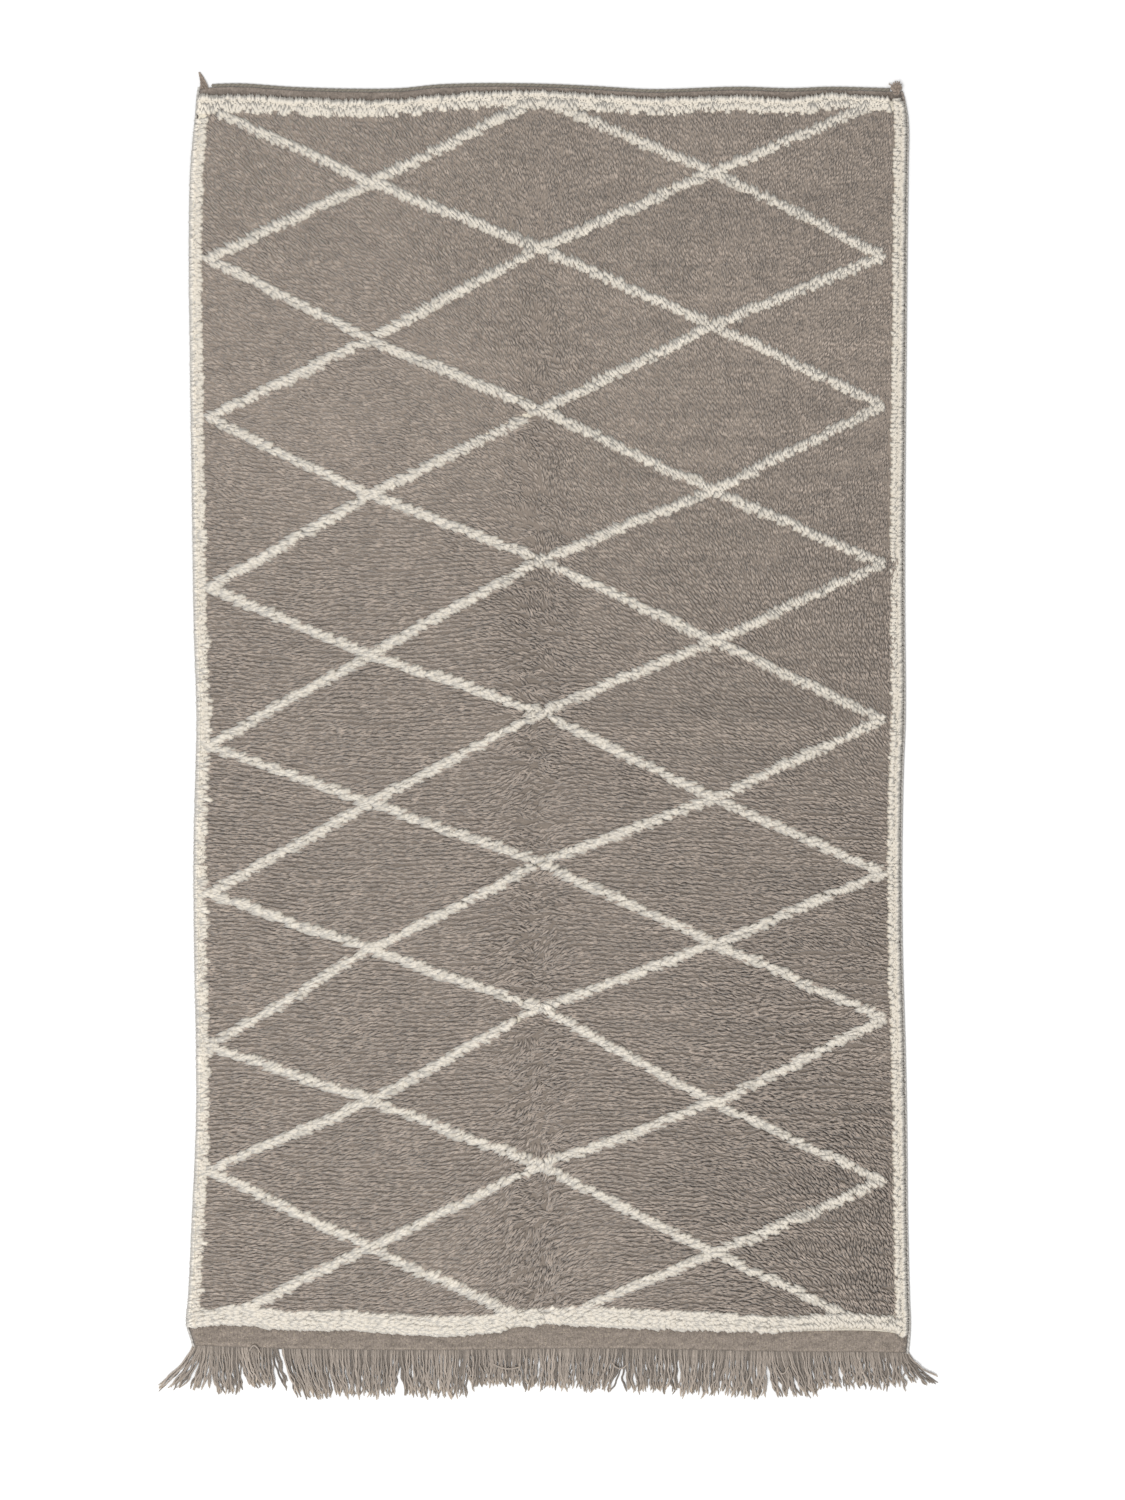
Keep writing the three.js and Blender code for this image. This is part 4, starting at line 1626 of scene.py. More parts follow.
    def build_strands(self) -> Strands:
        """Works out every strand.

        A knot's strands fan out about its direction, each in its own lane along the rug. Its wool is
        that of where it would show if it stood nearer its knot. A strand that would reach past the
        outline slides back, and is shortened for the rest. The tips lie highest, like combed grass.

        Returns:
            The strands.
        """
        tufts, rng = self.tufts(), self.rng
        strands = np.where(tufts.ivory, self.ivory_strands, self.strands)
        each = np.repeat(np.arange(len(strands)), strands)
        first = np.repeat(np.cumsum(strands) - strands, strands)
        place = (np.arange(len(each)) - first - (strands[each] - 1) / 2) / strands[each]
        spread = np.where(tufts.ivory, self.ivory_row_spread, self.row_spread)[each]
        knot = tufts.repeat(each)
        total, calm, curly = len(each), knot.calm, knot.curly
        loose = self.loose_turn * (1 + np.maximum(calm, curly))
        loose = loose * blend(self.steady_turn, 1, knot.hold)
        angle = knot.angle + np.radians(self.fan * place + loose * rng.normal(size=total))
        reach = knot.reach * (1 + self.strand_reach_spread * rng.normal(size=total))
        advance = np.stack((np.cos(angle), np.sin(angle)), 1) * reach[:, None] + knot.gather
        reach = np.linalg.norm(advance, axis=1)
        direction = unit(advance)
        lane = (np.arange(total) * self.golden_share) % 1 - 0.5
        shift = np.stack((self.knot_pitch * place, spread * lane), 1)
        middle = np.stack((knot.x, knot.y), 1)
        root = middle + shift + rng.normal(0, self.root_spread, (total, 2))
        angle = np.arctan2(direction[:, 1], direction[:, 0])
        shown = self.shown(*(middle + self.own_share * shift).T, angle, reach)
        ivory = self.pattern(*shown) | knot.outward
        line_tone = self.line_tone(*shown)
        hold = np.where(ivory, self.ivory_hold, 1.0)
        fits = self.shorten(root, direction * reach[:, None])
        slid = self.slide * (1 - fits) * reach
        root = root - direction * slid[:, None]
        reach = reach * fits + slid
        crown = self.row_crown * (1 + self.curly_crown * curly)
        crown = np.where(ivory, self.ivory_crown, crown) * (1 - calm)
        own = self.strand_lift * hold * (1 - self.calm_damping * calm) * rng.normal(size=total)
        change = knot.lift + own - crown * (2 * lane) ** 2
        width = np.where(ivory, self.ivory_width, blend(self.strand_width, self.calm_width, calm))
        width = width * rng.uniform(*self.width_shares, total)
        height = np.where(ivory, self.ivory_height, self.strand_height)
        bend = np.where(ivory, self.ivory_bend_rise, blend(self.bend_rise, self.calm_bend_rise, calm))
        advance = reach * np.where(ivory, self.ivory_bend_advance, self.bend_advance)
        rise = self.stand(root + direction * reach[:, None]) + change
        bend_rise = (self.stand(root + direction * advance[:, None]) + change) * bend
        steady = hold * (1 - self.calm_steadiness * calm)
        bends, tips = (advance, bend_rise), (reach, rise)
        points = self.strand_points(root, direction, bends, tips, width, height, steady)
        tone = (knot.tone + self.tone_spread * hold * rng.normal(size=total)) * line_tone
        return Strands(points, ivory, tone, rng.uniform(size=total), knot.x)

    def strand_points(
        self,
        root: Array,
        direction: Array,
        bend: tuple[Array, Array],
        tip: tuple[Array, Array],
        width: Array,
        height: Array,
        steady: Array,
    ) -> Array:
        """The five points of each strand.

        The bend is moved sideways by a random curl and tilted at random. Its left and right points
        lie half the width to the sides, and its upper point above them.

        Args:
            root: places of the roots in X and Y.
            direction: unit vectors towards the tips.
            bend: how far from the root each bend lies, and how high over the woven ground.
            tip: the same for the tips.
            width: the strands' widths.
            height: their heights at the bend.
            steady: share of the random curl and tilt that is kept.

        Returns:
            The points.
        """
        count = len(root)
        base = self.outline.weave_thickness - self.root_depth
        sideways = np.stack((-direction[:, 1], direction[:, 0]), 1)
        curl = steady * self.rng.normal(0, self.curl, count)
        tilt = steady * self.rng.normal(0, self.tilt, count)
        middle = root + direction * bend[0][:, None] + sideways * curl[:, None]
        points = np.zeros((count, 5, 3))
        points[:, 0, :2] = root
        points[:, 0, 2] = base
        for number, side in ((1, 1), (2, 0), (3, -1)):
            points[:, number, :2] = middle + sideways * (side * width / 2)[:, None]
            offset = -height / 2 if side else height / 2
            points[:, number, 2] = base + bend[1] + offset + side * tilt * width / 2
        points[:, 4, :2] = root + direction * tip[0][:, None]
        points[:, 4, 2] = base + tip[1]
        points[..., 2] = np.maximum(points[..., 2], self.lowest)
        return points

    def patch(self, strands: Strands, chosen: Array) -> Patch:
        """The mesh of some of the strands.

        Args:
            strands: all the strands.
            chosen: which of them to take.

        Returns:
            Their joined mesh.
        """
        points = strands.points[chosen]
        count, size = points.shape[:2]
        made = Patch(points.reshape(-1, 3))
        number = np.repeat(np.arange(count), len(self.FACES))
        faces = (np.arange(count)[:, None, None] * size + self.FACES).reshape(-1, 3)
        template = np.tile(self.FACES, (count, 1))
        along, across = self.ALONG[template], self.ACROSS[template]
        bake = CellSheet(count, 1.0).places(number, along, across)
        made.add_faces(faces, np.stack((across, along), -1), bake)
        made.values["tone"] = np.repeat(strands.tone[chosen], size)
        made.values["seed"] = np.repeat(strands.seed[chosen], size)
        return made

    def build(self) -> list[Piece]:
        """Makes the ivory pile as one piece, and the taupe pile as strips side by side.

        Returns:
            The pieces.
        """
        strands = self.build_strands()
        taupe, ivory = TAUPE_PILE.material(), IVORY_PILE.material()
        made = [self.patch(strands, strands.ivory).piece("pile_" + Wool.IVORY.value, ivory)]
        edges = np.quantile(strands.x[~strands.ivory], np.linspace(0, 1, self.strips + 1))
        edges[-1] += 1
        for number in range(self.strips):
            here = (strands.x >= edges[number]) & (strands.x < edges[number + 1]) & ~strands.ivory
            name = f"pile_{Wool.TAUPE.value}_{number + 1}"
            made.append(self.patch(strands, here).piece(name, taupe))
        return made


def slab(x: Array, y: Array, upper: Array, lower: Array) -> Patch:
    """A closed slab between two grids of points with the same outline in plan.

    Both maps hold a point's place across and along the slab, from 0 to 1. The upper grid takes the
    left half of the bake map and the lower grid the right half.

    Args:
        x, y: the points' places, in rows that run across.
        upper: Z of the upper grid.
        lower: Z of the lower grid.

    Returns:
        The mesh, with walls between the grids' edges.
    """
    along, across = x.shape
    count = along * across
    made = Patch(np.concatenate([np.stack((x, y, z), -1).reshape(-1, 3) for z in (upper, lower)]))
    faces = grid_faces(across, along)
    plan = made.points[:count, :2]
    plan = (plan - plan.min(0)) / np.ptp(plan, axis=0)
    sheet = CellSheet(2, 0.5, 0.005)
    for side, kind in ((0, faces), (1, faces[:, ::-1])):
        bake = sheet.places(np.full(len(kind), side), plan[kind][..., 0], plan[kind][..., 1])
        made.add_faces(kind + side * count, plan[kind], bake)
    loop = np.concatenate(
        (
            np.arange(across - 1),
            np.arange(along - 1) * across + across - 1,
            np.arange(count - 1, count - across, -1),
            np.arange(along - 1, 0, -1) * across,
        )
    )
    after = np.roll(loop, -1)
    corners = np.stack((loop, after, after, loop), 1)
    bake = sheet.places(np.zeros(len(loop), int), plan[corners][..., 0], plan[corners][..., 1])
    walls = np.stack((loop + count, after + count, after, loop), 1)
    made.add_faces(walls, plan[corners], bake)
    return made


@dataclass
class Ground:
    """The woven ground: a thin cloth under the pile, bare and ribbed at both ends."""

    outline: Outline
    lattice: Lattice
    columns: int = 92
    pile_rows: int = 60
    end_rows: int = 8
    uneven_across: float = 18.0
    uneven_along: float = 9.0
    face_drop: float = 0.2
    face_unevenness: float = 0.35
    back_height: float = 0.3
    back_unevenness: float = 0.25
    back_shift: float = 200.0

    def rows(self, x: Array) -> Array:
        """Heights of the grid's rows, closer together in the two bare ends.

        Args:
            x: the places across.

        Returns:
            One row of Y for each row of the grid.
        """
        outline = self.outline
        start, pile = outline.fringe_edge(x), outline.fringe_pile(x)
        finish, top = outline.heading_pile(x), outline.ground_top(x)
        parts = []
        for low, high, count in ((start, pile, self.end_rows), (pile, finish, self.pile_rows)):
            parts.append(blend(low, high, np.arange(count)[:, None] / count))
        parts.append(blend(finish, top, np.linspace(0, 1, self.end_rows + 1)[:, None]))
        return np.concatenate(parts)

    def build(self) -> Piece:
        """Makes the cloth as a slab with a slightly uneven face and back.

        Returns:
            The piece.
        """
        outline = self.outline
        share, rough_x = outline.rough_across(self.columns)
        y = self.rows(rough_x)
        x = outline.across(share, y)
        noise = SmoothNoise(Seed.GROUND.draws(), self.uneven_across, self.uneven_along)
        upper = outline.weave_thickness - self.face_drop + self.face_unevenness * noise(x, y)
        lower = self.back_height + self.back_unevenness * noise(x + self.back_shift, y)
        made = slab(x, y, upper, lower)
        self.lattice.dress(made, outline)
        made.values["under"] = np.repeat((0.0, 1.0), x.size)
        made.values["from_fringe"] = np.tile((y - outline.fringe_edge(x)).ravel(), 2)
        made.values["from_heading"] = np.tile((outline.ground_top(x) - y).ravel(), 2)
        return made.piece("woven_ground", GROUND_WEAVE.material())


@dataclass
class PileBed:
    """The lower part of the pile, where the locks stand so close that they make a dense mat."""

    outline: Outline
    lattice: Lattice
    columns: int = 66
    rows: int = 118
    # Shares of the pile's height that the mat fills.
    height_share: float = 0.54
    calm_share: float = 0.13
    curly_drop: float = 0.22
    border_share: float = 0.86
    heading_share: float = 0.84
    fringe_share: float = 0.35
    # Depths in the border, and distances from the pile's last row, between which the shares change.
    border_run: Span = (-10.0, 6.0)
    fringe_run: Span = (6.0, 34.0)
    side_inset: float = 3.0
    end_inset: float = 10.0
    foot: float = 0.4

    def share(self, x: Array, y: Array, pile: "Pile") -> Array:
        """Share of the pile's height that the mat fills, less where locks stand apart.

        Args:
            x, y: the places.
            pile: the pile, which knows where it is calm, parted or curly.

        Returns:
            The shares.
        """
        calm = pile.calm(x, y)
        share = self.height_share + self.calm_share * calm
        share = share - self.curly_drop * np.maximum(pile.parting(x, y), pile.curly(x, y)) * (1 - calm)
        border_share = blend(self.border_share, self.heading_share, calm)
        depth = self.lattice.border_depth(self.outline, x, y)
        share = np.maximum(share, border_share * smooth_step(depth, *self.border_run))
        inside = smooth_step(y - self.outline.fringe_pile(x), *self.fringe_run)
        return share * blend(self.fringe_share, 1, inside)

    def build(self, pile: "Pile") -> Piece:
        """Makes the mat, whose upper side follows the pile's height and rim.

        Args:
            pile: the pile that stands on it.

        Returns:
            The piece.
        """
        outline = self.outline
        share, rough_x = outline.rough_across(self.columns)
        low = outline.fringe_pile(rough_x) + self.end_inset
        high = outline.heading_pile(rough_x) - self.end_inset
        y = blend(low, high, np.linspace(0, 1, self.rows + 1)[:, None])
        x = outline.across(share, y, self.side_inset)
        base = outline.weave_thickness
        upper = base + (outline.pile_height(x, y) - base) * self.share(x, y, pile) * pile.rim(x, y)
        made = slab(x, y, upper, np.full(x.shape, base + self.foot))
        self.lattice.dress(made, outline)
        made.values["calm"] = np.tile(pile.calm(x, y).ravel(), 2)
        made.values["sideways"] = np.tile(np.cos(pile.nap(x.ravel(), y.ravel())) ** 2, 2)
        return made.piece("pile_bed", PILE_BED.material())


@dataclass
class Fringe:
    """The loose warp ends: plied yarns in uneven clumps, lying on the floor."""

    outline: Outline
    yarns_for_each_strand: float = 3.7
    rings: int = 16
    sides: int = 5
    radius: float = 1.85
    radius_shares: Span = (0.82, 1.12)
    root_inset: float = 1.5
    root_overlap: float = 2.6
    root_lift: float = 0.4
    # How many yarns' places a tip strays across, and how the tips' Y varies about the clump's.
    tip_mixing: float = 3.0
    tip_shift: float = 4.0
    tip_spread: float = 5.5
    tip_shortening: float = 9.0
    lowest_tip: float = -1394.0
    side_power: float = 1.4
    # Waves along a yarn: how many of them, and how far aside they reach.
    waves: tuple[Span, ...] = ((1.0, 4.5), (2.3, 3.2), (4.6, 1.2))
    least_wave: float = 0.3
    wave_power: float = 0.8
    lower_share: float = 0.5
    lower_rise: float = 0.3
    upper_rises: Span = (2.6, 5.0)
    hump_shares: Span = (0.9, 0.05)
    hump_power: float = 0.7
    lower_painted_shade: float = 0.6
    tone_spread: float = 0.14
    tones: Span = (0.5, 1.35)
    loose_tone: float = 1.1
    loose_height: float = 8.0
    # A yarn's radius swells past this share of its length, and then narrows to its tip.
    taper_from: float = 0.8
    taper_run: float = 0.2
    swell: float = 1.15
    taper: float = 0.75
    root_width: float = 0.8
    lobe_depth: float = 0.14
    lobe_turn: float = 9.0
    floor_gap: float = 0.15

    def ends(self, rng: np.random.Generator) -> tuple[Array, Array, Array]:
        """Places of the yarns' ends, clump after clump.

        Args:
            rng: the source of random numbers.

        Returns:
            X of the roots, and X and Y of the tips.
        """
        root_x, tip_x, tip_y = [], [], []
        for root_from, root_to, tip_from, tip_to, reach, strands in FRINGE_CLUMPS.numbers:
            count = max(2, round(strands * self.yarns_for_each_strand))
            share = (np.arange(count) + 0.5) / count
            overlap = self.root_overlap * (2 * share - 1)
            root_x.append(blend(root_from, root_to, share) + overlap)
            mixed = np.clip(share + rng.normal(0, self.tip_mixing / count, count), 0, 1)
            tip_x.append(blend(tip_from, tip_to, mixed))
            spread = rng.normal(0, self.tip_spread, count)
            shorter = self.tip_shortening * rng.uniform(size=count) ** 3
            tip_y.append(reach + self.tip_shift + spread + shorter)
        root_x, tip_x, tip_y = (np.concatenate(part) for part in (root_x, tip_x, tip_y))
        return root_x, tip_x, np.maximum(tip_y, self.lowest_tip)

    def paths(self, rng: np.random.Generator) -> tuple[Array, Array, Array]:
        """Middle lines of the yarns.

        A yarn runs from its root to its tip. Its place across moves by the share along it to a
        power, plus three sine waves that grow from the root, and its height dips from the cloth's
        edge to the floor, with a rise where it rides over its neighbours.

        Args:
            rng: the source of random numbers.

        Returns:
            The points of each yarn, its radius and its tone, painted darker in the lower layer as shade under
            the upper yarns.
        """
        root_x, tip_x, tip_y = self.ends(rng)
        count = len(root_x)
        share = np.linspace(0, 1, self.rings)
        root_y = self.outline.fringe_edge(root_x) + self.root_inset
        x = blend(root_x[:, None], tip_x[:, None], share**self.side_power)
        y = blend(root_y[:, None], tip_y[:, None], share)
        for waves, size in self.waves:
            phase = rng.uniform(0, 2 * math.pi, (count, 1))
            amount = size * rng.uniform(self.least_wave, 1, (count, 1))
            wave = np.sin(2 * math.pi * waves * share + phase) - np.sin(phase) * (1 - share)
            x = x + amount * share**self.wave_power * wave
        radius = self.radius * rng.uniform(*self.radius_shares, count)
        lower = rng.uniform(size=(count, 1)) < self.lower_share
        over = np.where(lower, self.lower_rise, rng.uniform(*self.upper_rises, (count, 1)))
        stretch, shift = self.hump_shares
        humps = np.sin(math.pi * np.clip(share * stretch + shift, 0, 1)) ** self.hump_power
        z = radius[:, None] + over * humps + self.root_lift * (1 - share) ** 4
        # Painted shade: the lower layer's yarns are darker, as shade under the upper ones.
        tone = np.where(lower[:, 0], self.lower_painted_shade, 1.0) * (1 + self.tone_spread * rng.normal(size=count))
        paths = np.concatenate((np.stack((x, y, z), -1), self.loose_paths()))
        extra = len(paths) - count
        return paths, np.r_[radius, np.full(extra, self.radius)], np.r_[tone, np.full(extra, self.loose_tone)]

    def loose_paths(self) -> Array:
        """Middle lines of the yarns that lie loose on the others.

        Each is the parabola through its three places, at the shares 0, a half and 1 of its length.

        Returns:
            The points of each yarn.
        """
        share = np.linspace(0, 1, self.rings)[:, None]
        start, middle, finish = LOOSE_YARNS.numbers.reshape(-1, 3, 1, 2).swapaxes(0, 1)
        plan = start * (1 - share) * (1 - 2 * share) + middle * 4 * share * (1 - share)
        plan = plan + finish * share * (2 * share - 1)
        return np.concatenate((plan, np.full((*plan.shape[:2], 1), self.loose_height)), -1)

    def build(self) -> Piece:
        """Makes the yarns as one piece, tapering at their tips.

        Returns:
            The piece.
        """
        rng = Seed.FRINGE.draws()
        paths, radius, tone = self.paths(rng)
        share = np.linspace(0, 1, self.rings)
        narrowed = self.swell - self.taper * ((share - self.taper_from) / self.taper_run) ** 2
        taper = np.where(share > self.taper_from, narrowed, 1.0)
        taper[0] = self.root_width
        turn = rng.uniform(0, 2 * math.pi, (len(radius), 1, 1))
        lobes = np.cos(2 * angles(self.sides) + turn + self.lobe_turn * share[:, None])
        radii = radius[:, None, None] * taper[:, None] * (1 + self.lobe_depth * lobes)
        patch = Tubes(paths, radii).patch(np.clip(tone, *self.tones))
        patch.keep_above(self.floor_gap)
        return patch.piece("fringe_yarns", FRINGE_YARN.material())


@dataclass
class Selvedge:
    """An overcast cord along one long side, wrapped in wool row by row."""

    outline: Outline
    side: Side
    wrap_pitch: float = 9.7
    rings_for_each_wrap: int = 5
    sides: int = 8
    strips: int = 32
    # How far the wraps' phase drifts at random from ring to ring, in turns.
    drift: float = 0.035
    groove: float = 0.2
    roundness: float = 0.6
    groove_painted_shade: float = 0.35
    crest_painted_light: float = 1.05
    worn_from: Span = (1318.0, 1336.0)

    def build(self) -> Piece:
        """Makes the cord, whose radius swells in each wrap as the root of a slanted absolute sine.

        Returns:
            The piece.
        """
        outline = self.outline
        radius = outline.selvedge_width / 2
        ground_side = outline.ground_side(self.side, 0.0)
        low, high = outline.fringe_edge(ground_side), outline.ground_top(ground_side)
        rings = round((high - low) / self.wrap_pitch * self.rings_for_each_wrap) + 1
        y = np.linspace(float(low), float(high), rings)
        edge = outline.left(y) if self.side is Side.LEFT else outline.right(y)
        rng = Seed.SELVEDGE.draws(self.side.value)
        drift = np.cumsum(rng.normal(0, self.drift, rings))
        path = np.stack((edge - self.side.value * radius, y, np.full(rings, radius)), 1)
        slant = (y / self.wrap_pitch + drift)[:, None] + angles(self.sides) / (2 * math.pi)
        swell = np.abs(np.sin(math.pi * slant)) ** self.roundness
        radii = radius * (1 - self.groove + self.groove * swell)
        patch = Tubes(path[None], radii[None], self.strips).patch()
        worn = smooth_step(y, *self.worn_from) if self.side is Side.RIGHT else np.zeros(rings)
        patch.values["share"] = np.r_[np.repeat(worn, self.sides), 0.0, 1.0]
        swell = np.r_[swell.ravel(), 1.0, 1.0]
        # Painted shade: the grooves between wraps are darker and the wraps' crests lighter.
        patch.values["tone"] = blend(self.groove_painted_shade, self.crest_painted_light, swell)
        patch.keep_above(FLOOR_GAP)
        return patch.piece(f"selvedge_{self.side.name.lower()}_wraps", SELVEDGE_YARN.material())


@dataclass
class HeadingCord:
    """The twined cord along the plain end."""

    outline: Outline
    turn_length: float = 15.0
    rings_for_each_turn: int = 8
    sides: int = 8
    strips: int = 16
    lobe_depth: float = 0.16
    lobe_painted_shade: float = 0.12
    start: float = -703.0
    finish: float = 719.0

    def build(self) -> Piece:
        """Makes the cord, whose section has two lobes that turn along it.

        Returns:
            The piece.
        """
        radius = self.outline.heading_width / 2
        rings = round((self.finish - self.start) / self.turn_length * self.rings_for_each_turn)
        x = np.linspace(self.start, self.finish, rings)
        path = np.stack((x, self.outline.heading_face(x) - radius, np.full(rings, radius)), 1)
        lobes = np.cos(2 * angles(self.sides) + (2 * math.pi * x / self.turn_length)[:, None])
        radii = radius * (1 - self.lobe_depth / 2 + self.lobe_depth / 2 * lobes)
        patch = Tubes(path[None], radii[None], self.strips).patch()
        patch.values["share"] = np.zeros(len(patch.points))
        # Painted shade: the tone is darker between the lobes and lighter on them.
        patch.values["tone"] = 1 + self.lobe_painted_shade * np.r_[lobes.ravel(), 0.0, 0.0]
        patch.keep_above(FLOOR_GAP)
        return patch.piece("heading_cord_twined", HEADING_YARN.material())


@dataclass
class CornerTassel:
    """Warp ends twisted into a point at the heading end's left corner."""

    yarns: int = 7
    rings: int = 22
    sides: int = 6
    root_overlap: float = 3.0
    tip_inset: float = 2.0
    tip_shift: float = 10.5
    shift_power: float = 1.6
    # Half the tassel's width, as a share of the solid's, and its height, with how much both narrow.
    spread: float = 0.62
    spread_taper: float = 0.82
    half_height: float = 2.9
    height_taper: float = 0.75
    root_height: float = 4.6
    tip_drop: float = 2.2
    half_turns: float = 1.3
    radius: float = 2.1
    radius_taper: float = 0.62
    tones: Span = (0.85, 1.15)

    def build(self) -> Piece:
        """Makes the yarns, each a helix about a middle line that narrows to the tassel's tip.

        Returns:
            The piece.
        """
        low, high = (np.array(corner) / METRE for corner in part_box("corner_tassel"))
        share = np.linspace(0, 1, self.rings)
        width = 0.5 * (high[0] - low[0])
        length = high[1] - low[1] + (self.root_overlap - self.tip_inset)
        turn = angles(self.yarns)[:, None] + self.half_turns * math.pi * share
        spread_x = width * self.spread * (1 - self.spread_taper * share)
        spread_z = self.half_height * (1 - self.height_taper * share)
        x = low[0] + width - self.tip_shift * share**self.shift_power + spread_x * np.cos(turn)
        y = np.broadcast_to(low[1] - self.root_overlap + length * share, x.shape)
        z = self.root_height - self.tip_drop * share + spread_z * np.sin(turn)
        radii = self.radius * (1 - self.radius_taper * share)[:, None]
        radii = np.broadcast_to(radii, (self.yarns, self.rings, self.sides))
        patch = Tubes(np.stack((x, y, z), -1), radii).patch(np.linspace(*self.tones, self.yarns))
        patch.keep_above(FLOOR_GAP)
        return patch.piece("corner_tassel_yarns", CORNER_YARN.material())


@dataclass
class CornerKnot:
    """Warp ends knotted at the heading end's right corner, with frayed tips."""

    rings: int = 40
    sides: int = 7
    # The knot's middle: X and Z from the middle of the solid, and Y from its lower side.
    shift: tuple[float, float, float] = (-1.0, 12.5, 0.4)
    size: tuple[float, float, float] = (3.3, 3.4, 2.4)
    radius: float = 3.6
    tone: float = 0.9
    frayed_ends: int = 11
    frayed_radius: float = 2.7
    frayed_taper: float = 0.55
    frayed_tones: Span = (0.85, 1.25)
    # The outer ends' lean in radians, and how long the ends are.
    lean: float = 0.6
    lengths: Span = (8.0, 15.0)
    bend: float = 2.0
    root_spread: float = 9.0
    side_share: float = 0.6
    root_y: float = 3.0
    rises: Span = (-2.0, 3.0)
    droop: float = 3.0
    overhang: float = 4.0

    def frayed_path(self, rng: np.random.Generator, middle: Array, lean: float) -> Array:
        """Middle line of a frayed end: straight by its lean, with a parabola aside and downward.

        Args:
            rng: the source of random numbers.
            middle: the knot's middle.
            lean: radians from +Y to +X.

        Returns:
            Its points.
        """
        share = np.linspace(0, 1, self.rings)
        length = rng.uniform(*self.lengths)
        bend = rng.normal(0, self.bend)
        aside = np.sin(lean) * length * share * self.side_share
        x = middle[0] + self.root_spread * lean + aside + bend * share**2
        y = middle[1] + self.root_y + np.cos(lean) * length * share
        z = middle[2] + rng.uniform(*self.rises) * share - self.droop * share**2
        return np.stack((x, y, z), 1)

    def build(self) -> Piece:
        """Makes a three-leaved knot of thick yarn, and the frayed ends that leave it.

        The knot's line is the trefoil: sine of the angle plus twice the sine of twice it, cosine
        less twice the cosine of twice it, and the sine of three times it.

        Returns:
            The piece.
        """
        low, high = (np.array(corner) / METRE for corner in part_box("corner_knot"))
        middle = np.array(((low[0] + high[0]) / 2, low[1], (low[2] + high[2]) / 2)) + self.shift
        angle = np.linspace(0, 2 * math.pi, self.rings)
        x = np.sin(angle) + 2 * np.sin(2 * angle)
        y = np.cos(angle) - 2 * np.cos(2 * angle)
        knot = middle + np.stack((x, y, -np.sin(3 * angle)), 1) * self.size
        rng = Seed.KNOT.draws()
        leans = np.linspace(-self.lean, self.lean, self.frayed_ends)
        paths = np.stack([knot, *(self.frayed_path(rng, middle, lean) for lean in leans)])
        paths[1:, :, 1] = np.minimum(paths[1:, :, 1], high[1] + self.overhang)
        taper = np.ones((len(paths), self.rings))
        taper[1:] = 1 - self.frayed_taper * np.linspace(0, 1, self.rings)
        size = np.r_[self.radius, np.full(self.frayed_ends, self.frayed_radius)]
        radii = (size[:, None] * taper)[..., None] * np.ones(self.sides)
        tones = np.r_[self.tone, rng.uniform(*self.frayed_tones, self.frayed_ends)]
        # A slanted reference, because the knot's line turns through the upright somewhere.
        patch = Tubes(paths, radii, reference=(0.13, 0.21, 0.97)).patch(tones)
        return patch.piece("corner_knot_yarns", CORNER_YARN.material())


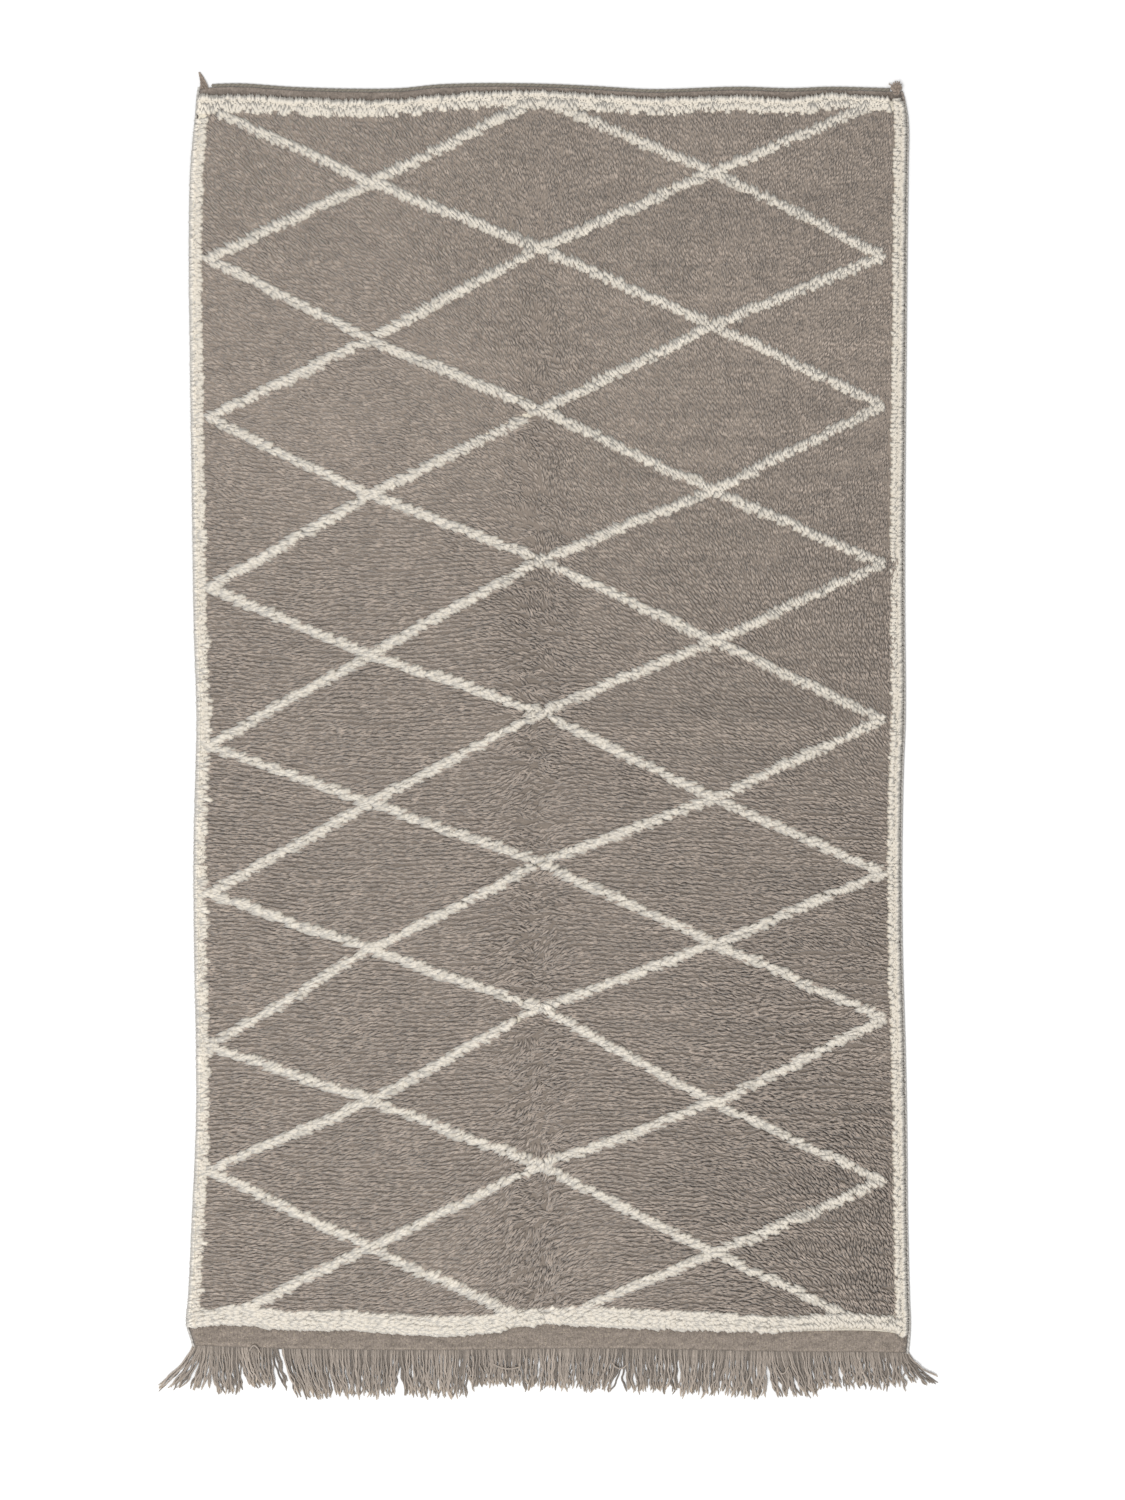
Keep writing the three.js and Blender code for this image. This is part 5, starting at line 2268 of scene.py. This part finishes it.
@dataclass
class Studio:
    """Floor, soft light and the camera straight above the rug."""

    picture_scale: float = 2.1
    picture_height: float = 1500.0
    lens: float = 85.0
    sensor: float = 36.0
    aim: Span = (32.5, -29.4)
    floor_half: float = 30000.0
    floor_depth: float = 0.4
    sky_strength: float = 0.74
    lamp_watts: float = 1080.0
    # Side and place of the lamp, and the far end of what the camera sees, in metres.
    lamp_side: float = 6.0
    lamp_place: tuple[float, float, float] = (-3.6, -4.4, 11.4)
    far_end: float = 100.0

    def build_floor(self) -> None:
        """Makes the floor as a wide square just under the rug."""
        half = self.floor_half
        corners = [(-half, -half), (half, -half), (half, half), (-half, half)]
        floor = Patch(np.array([(x, y, -self.floor_depth) for x, y in corners]))
        floor.add_faces(np.array([[0, 1, 2, 3]]))
        floor.piece("floor", PlainFloor().material())

    def build_camera(self) -> None:
        """Places the camera so that its picture is as many millimetres high as the photo shows."""
        distance = self.picture_height * self.picture_scale * self.lens / self.sensor
        data = bpy.data.cameras.new("camera")
        data.lens = self.lens
        data.sensor_width = self.sensor
        data.clip_end = self.far_end
        camera = bpy.data.objects.new("camera", data)
        camera.location = (self.aim[0] * METRE, self.aim[1] * METRE, distance * METRE)
        bpy.context.scene.collection.objects.link(camera)
        bpy.context.scene.camera = camera

    def build_light(self) -> None:
        """Makes an even sky, and one large soft lamp high over the left of the fringe end."""
        world = bpy.data.worlds.new("studio")
        world.use_nodes = True
        background = world.node_tree.nodes["Background"]
        background.inputs["Color"].default_value = (1.0, 1.0, 1.0, 1.0)
        background.inputs["Strength"].default_value = self.sky_strength
        bpy.context.scene.world = world
        lamp = bpy.data.lights.new("soft_lamp", "AREA")
        lamp.shape = "SQUARE"
        lamp.size = self.lamp_side
        lamp.energy = self.lamp_watts
        holder = bpy.data.objects.new("soft_lamp", lamp)
        holder.location = self.lamp_place
        aim = -np.array(holder.location)
        yaw = math.atan2(aim[1], aim[0])
        pitch = math.acos(-aim[2] / np.linalg.norm(aim))
        holder.rotation_euler = (pitch, 0.0, yaw - math.pi / 2)
        bpy.context.scene.collection.objects.link(holder)
        bpy.context.scene.view_settings.view_transform = "Standard"

    def build(self) -> None:
        """Makes all three."""
        self.build_floor()
        self.build_camera()
        self.build_light()


def settle(piece: Piece, node: str) -> Piece:
    """Lets a piece ride on the rug's body in place of a solid, and reports it.

    Args:
        piece: the piece.
        node: the solid's node.

    Returns:
        The piece.
    """
    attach(piece, BODY)
    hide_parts(node)
    piece.data.calc_loop_triangles()
    LOG.info("%s: %d triangles", piece.name, len(piece.data.loop_triangles))
    return piece


def main() -> None:
    """Builds the rug piece by piece, then the studio."""
    logging.basicConfig(level=logging.INFO, format="%(message)s")
    outline, lattice = Outline(), Lattice()
    ground = settle(Ground(outline, lattice).build(), "rug")
    pile = Pile(outline, lattice)
    locks = [settle(piece, "rug") for piece in pile.build()]
    locks.append(settle(PileBed(outline, lattice).build(pile), "rug"))
    fringe = settle(Fringe(outline).build(), "fringe")
    edges = [
        settle(Selvedge(outline, Side.LEFT).build(), "selvedge_left"),
        settle(Selvedge(outline, Side.RIGHT).build(), "selvedge_right"),
        settle(HeadingCord(outline).build(), "heading_cord"),
    ]
    corners = [
        settle(CornerTassel().build(), "corner_tassel"),
        settle(CornerKnot().build(), "corner_knot"),
    ]
    Studio().build()


if __name__ == "__main__":
    main()
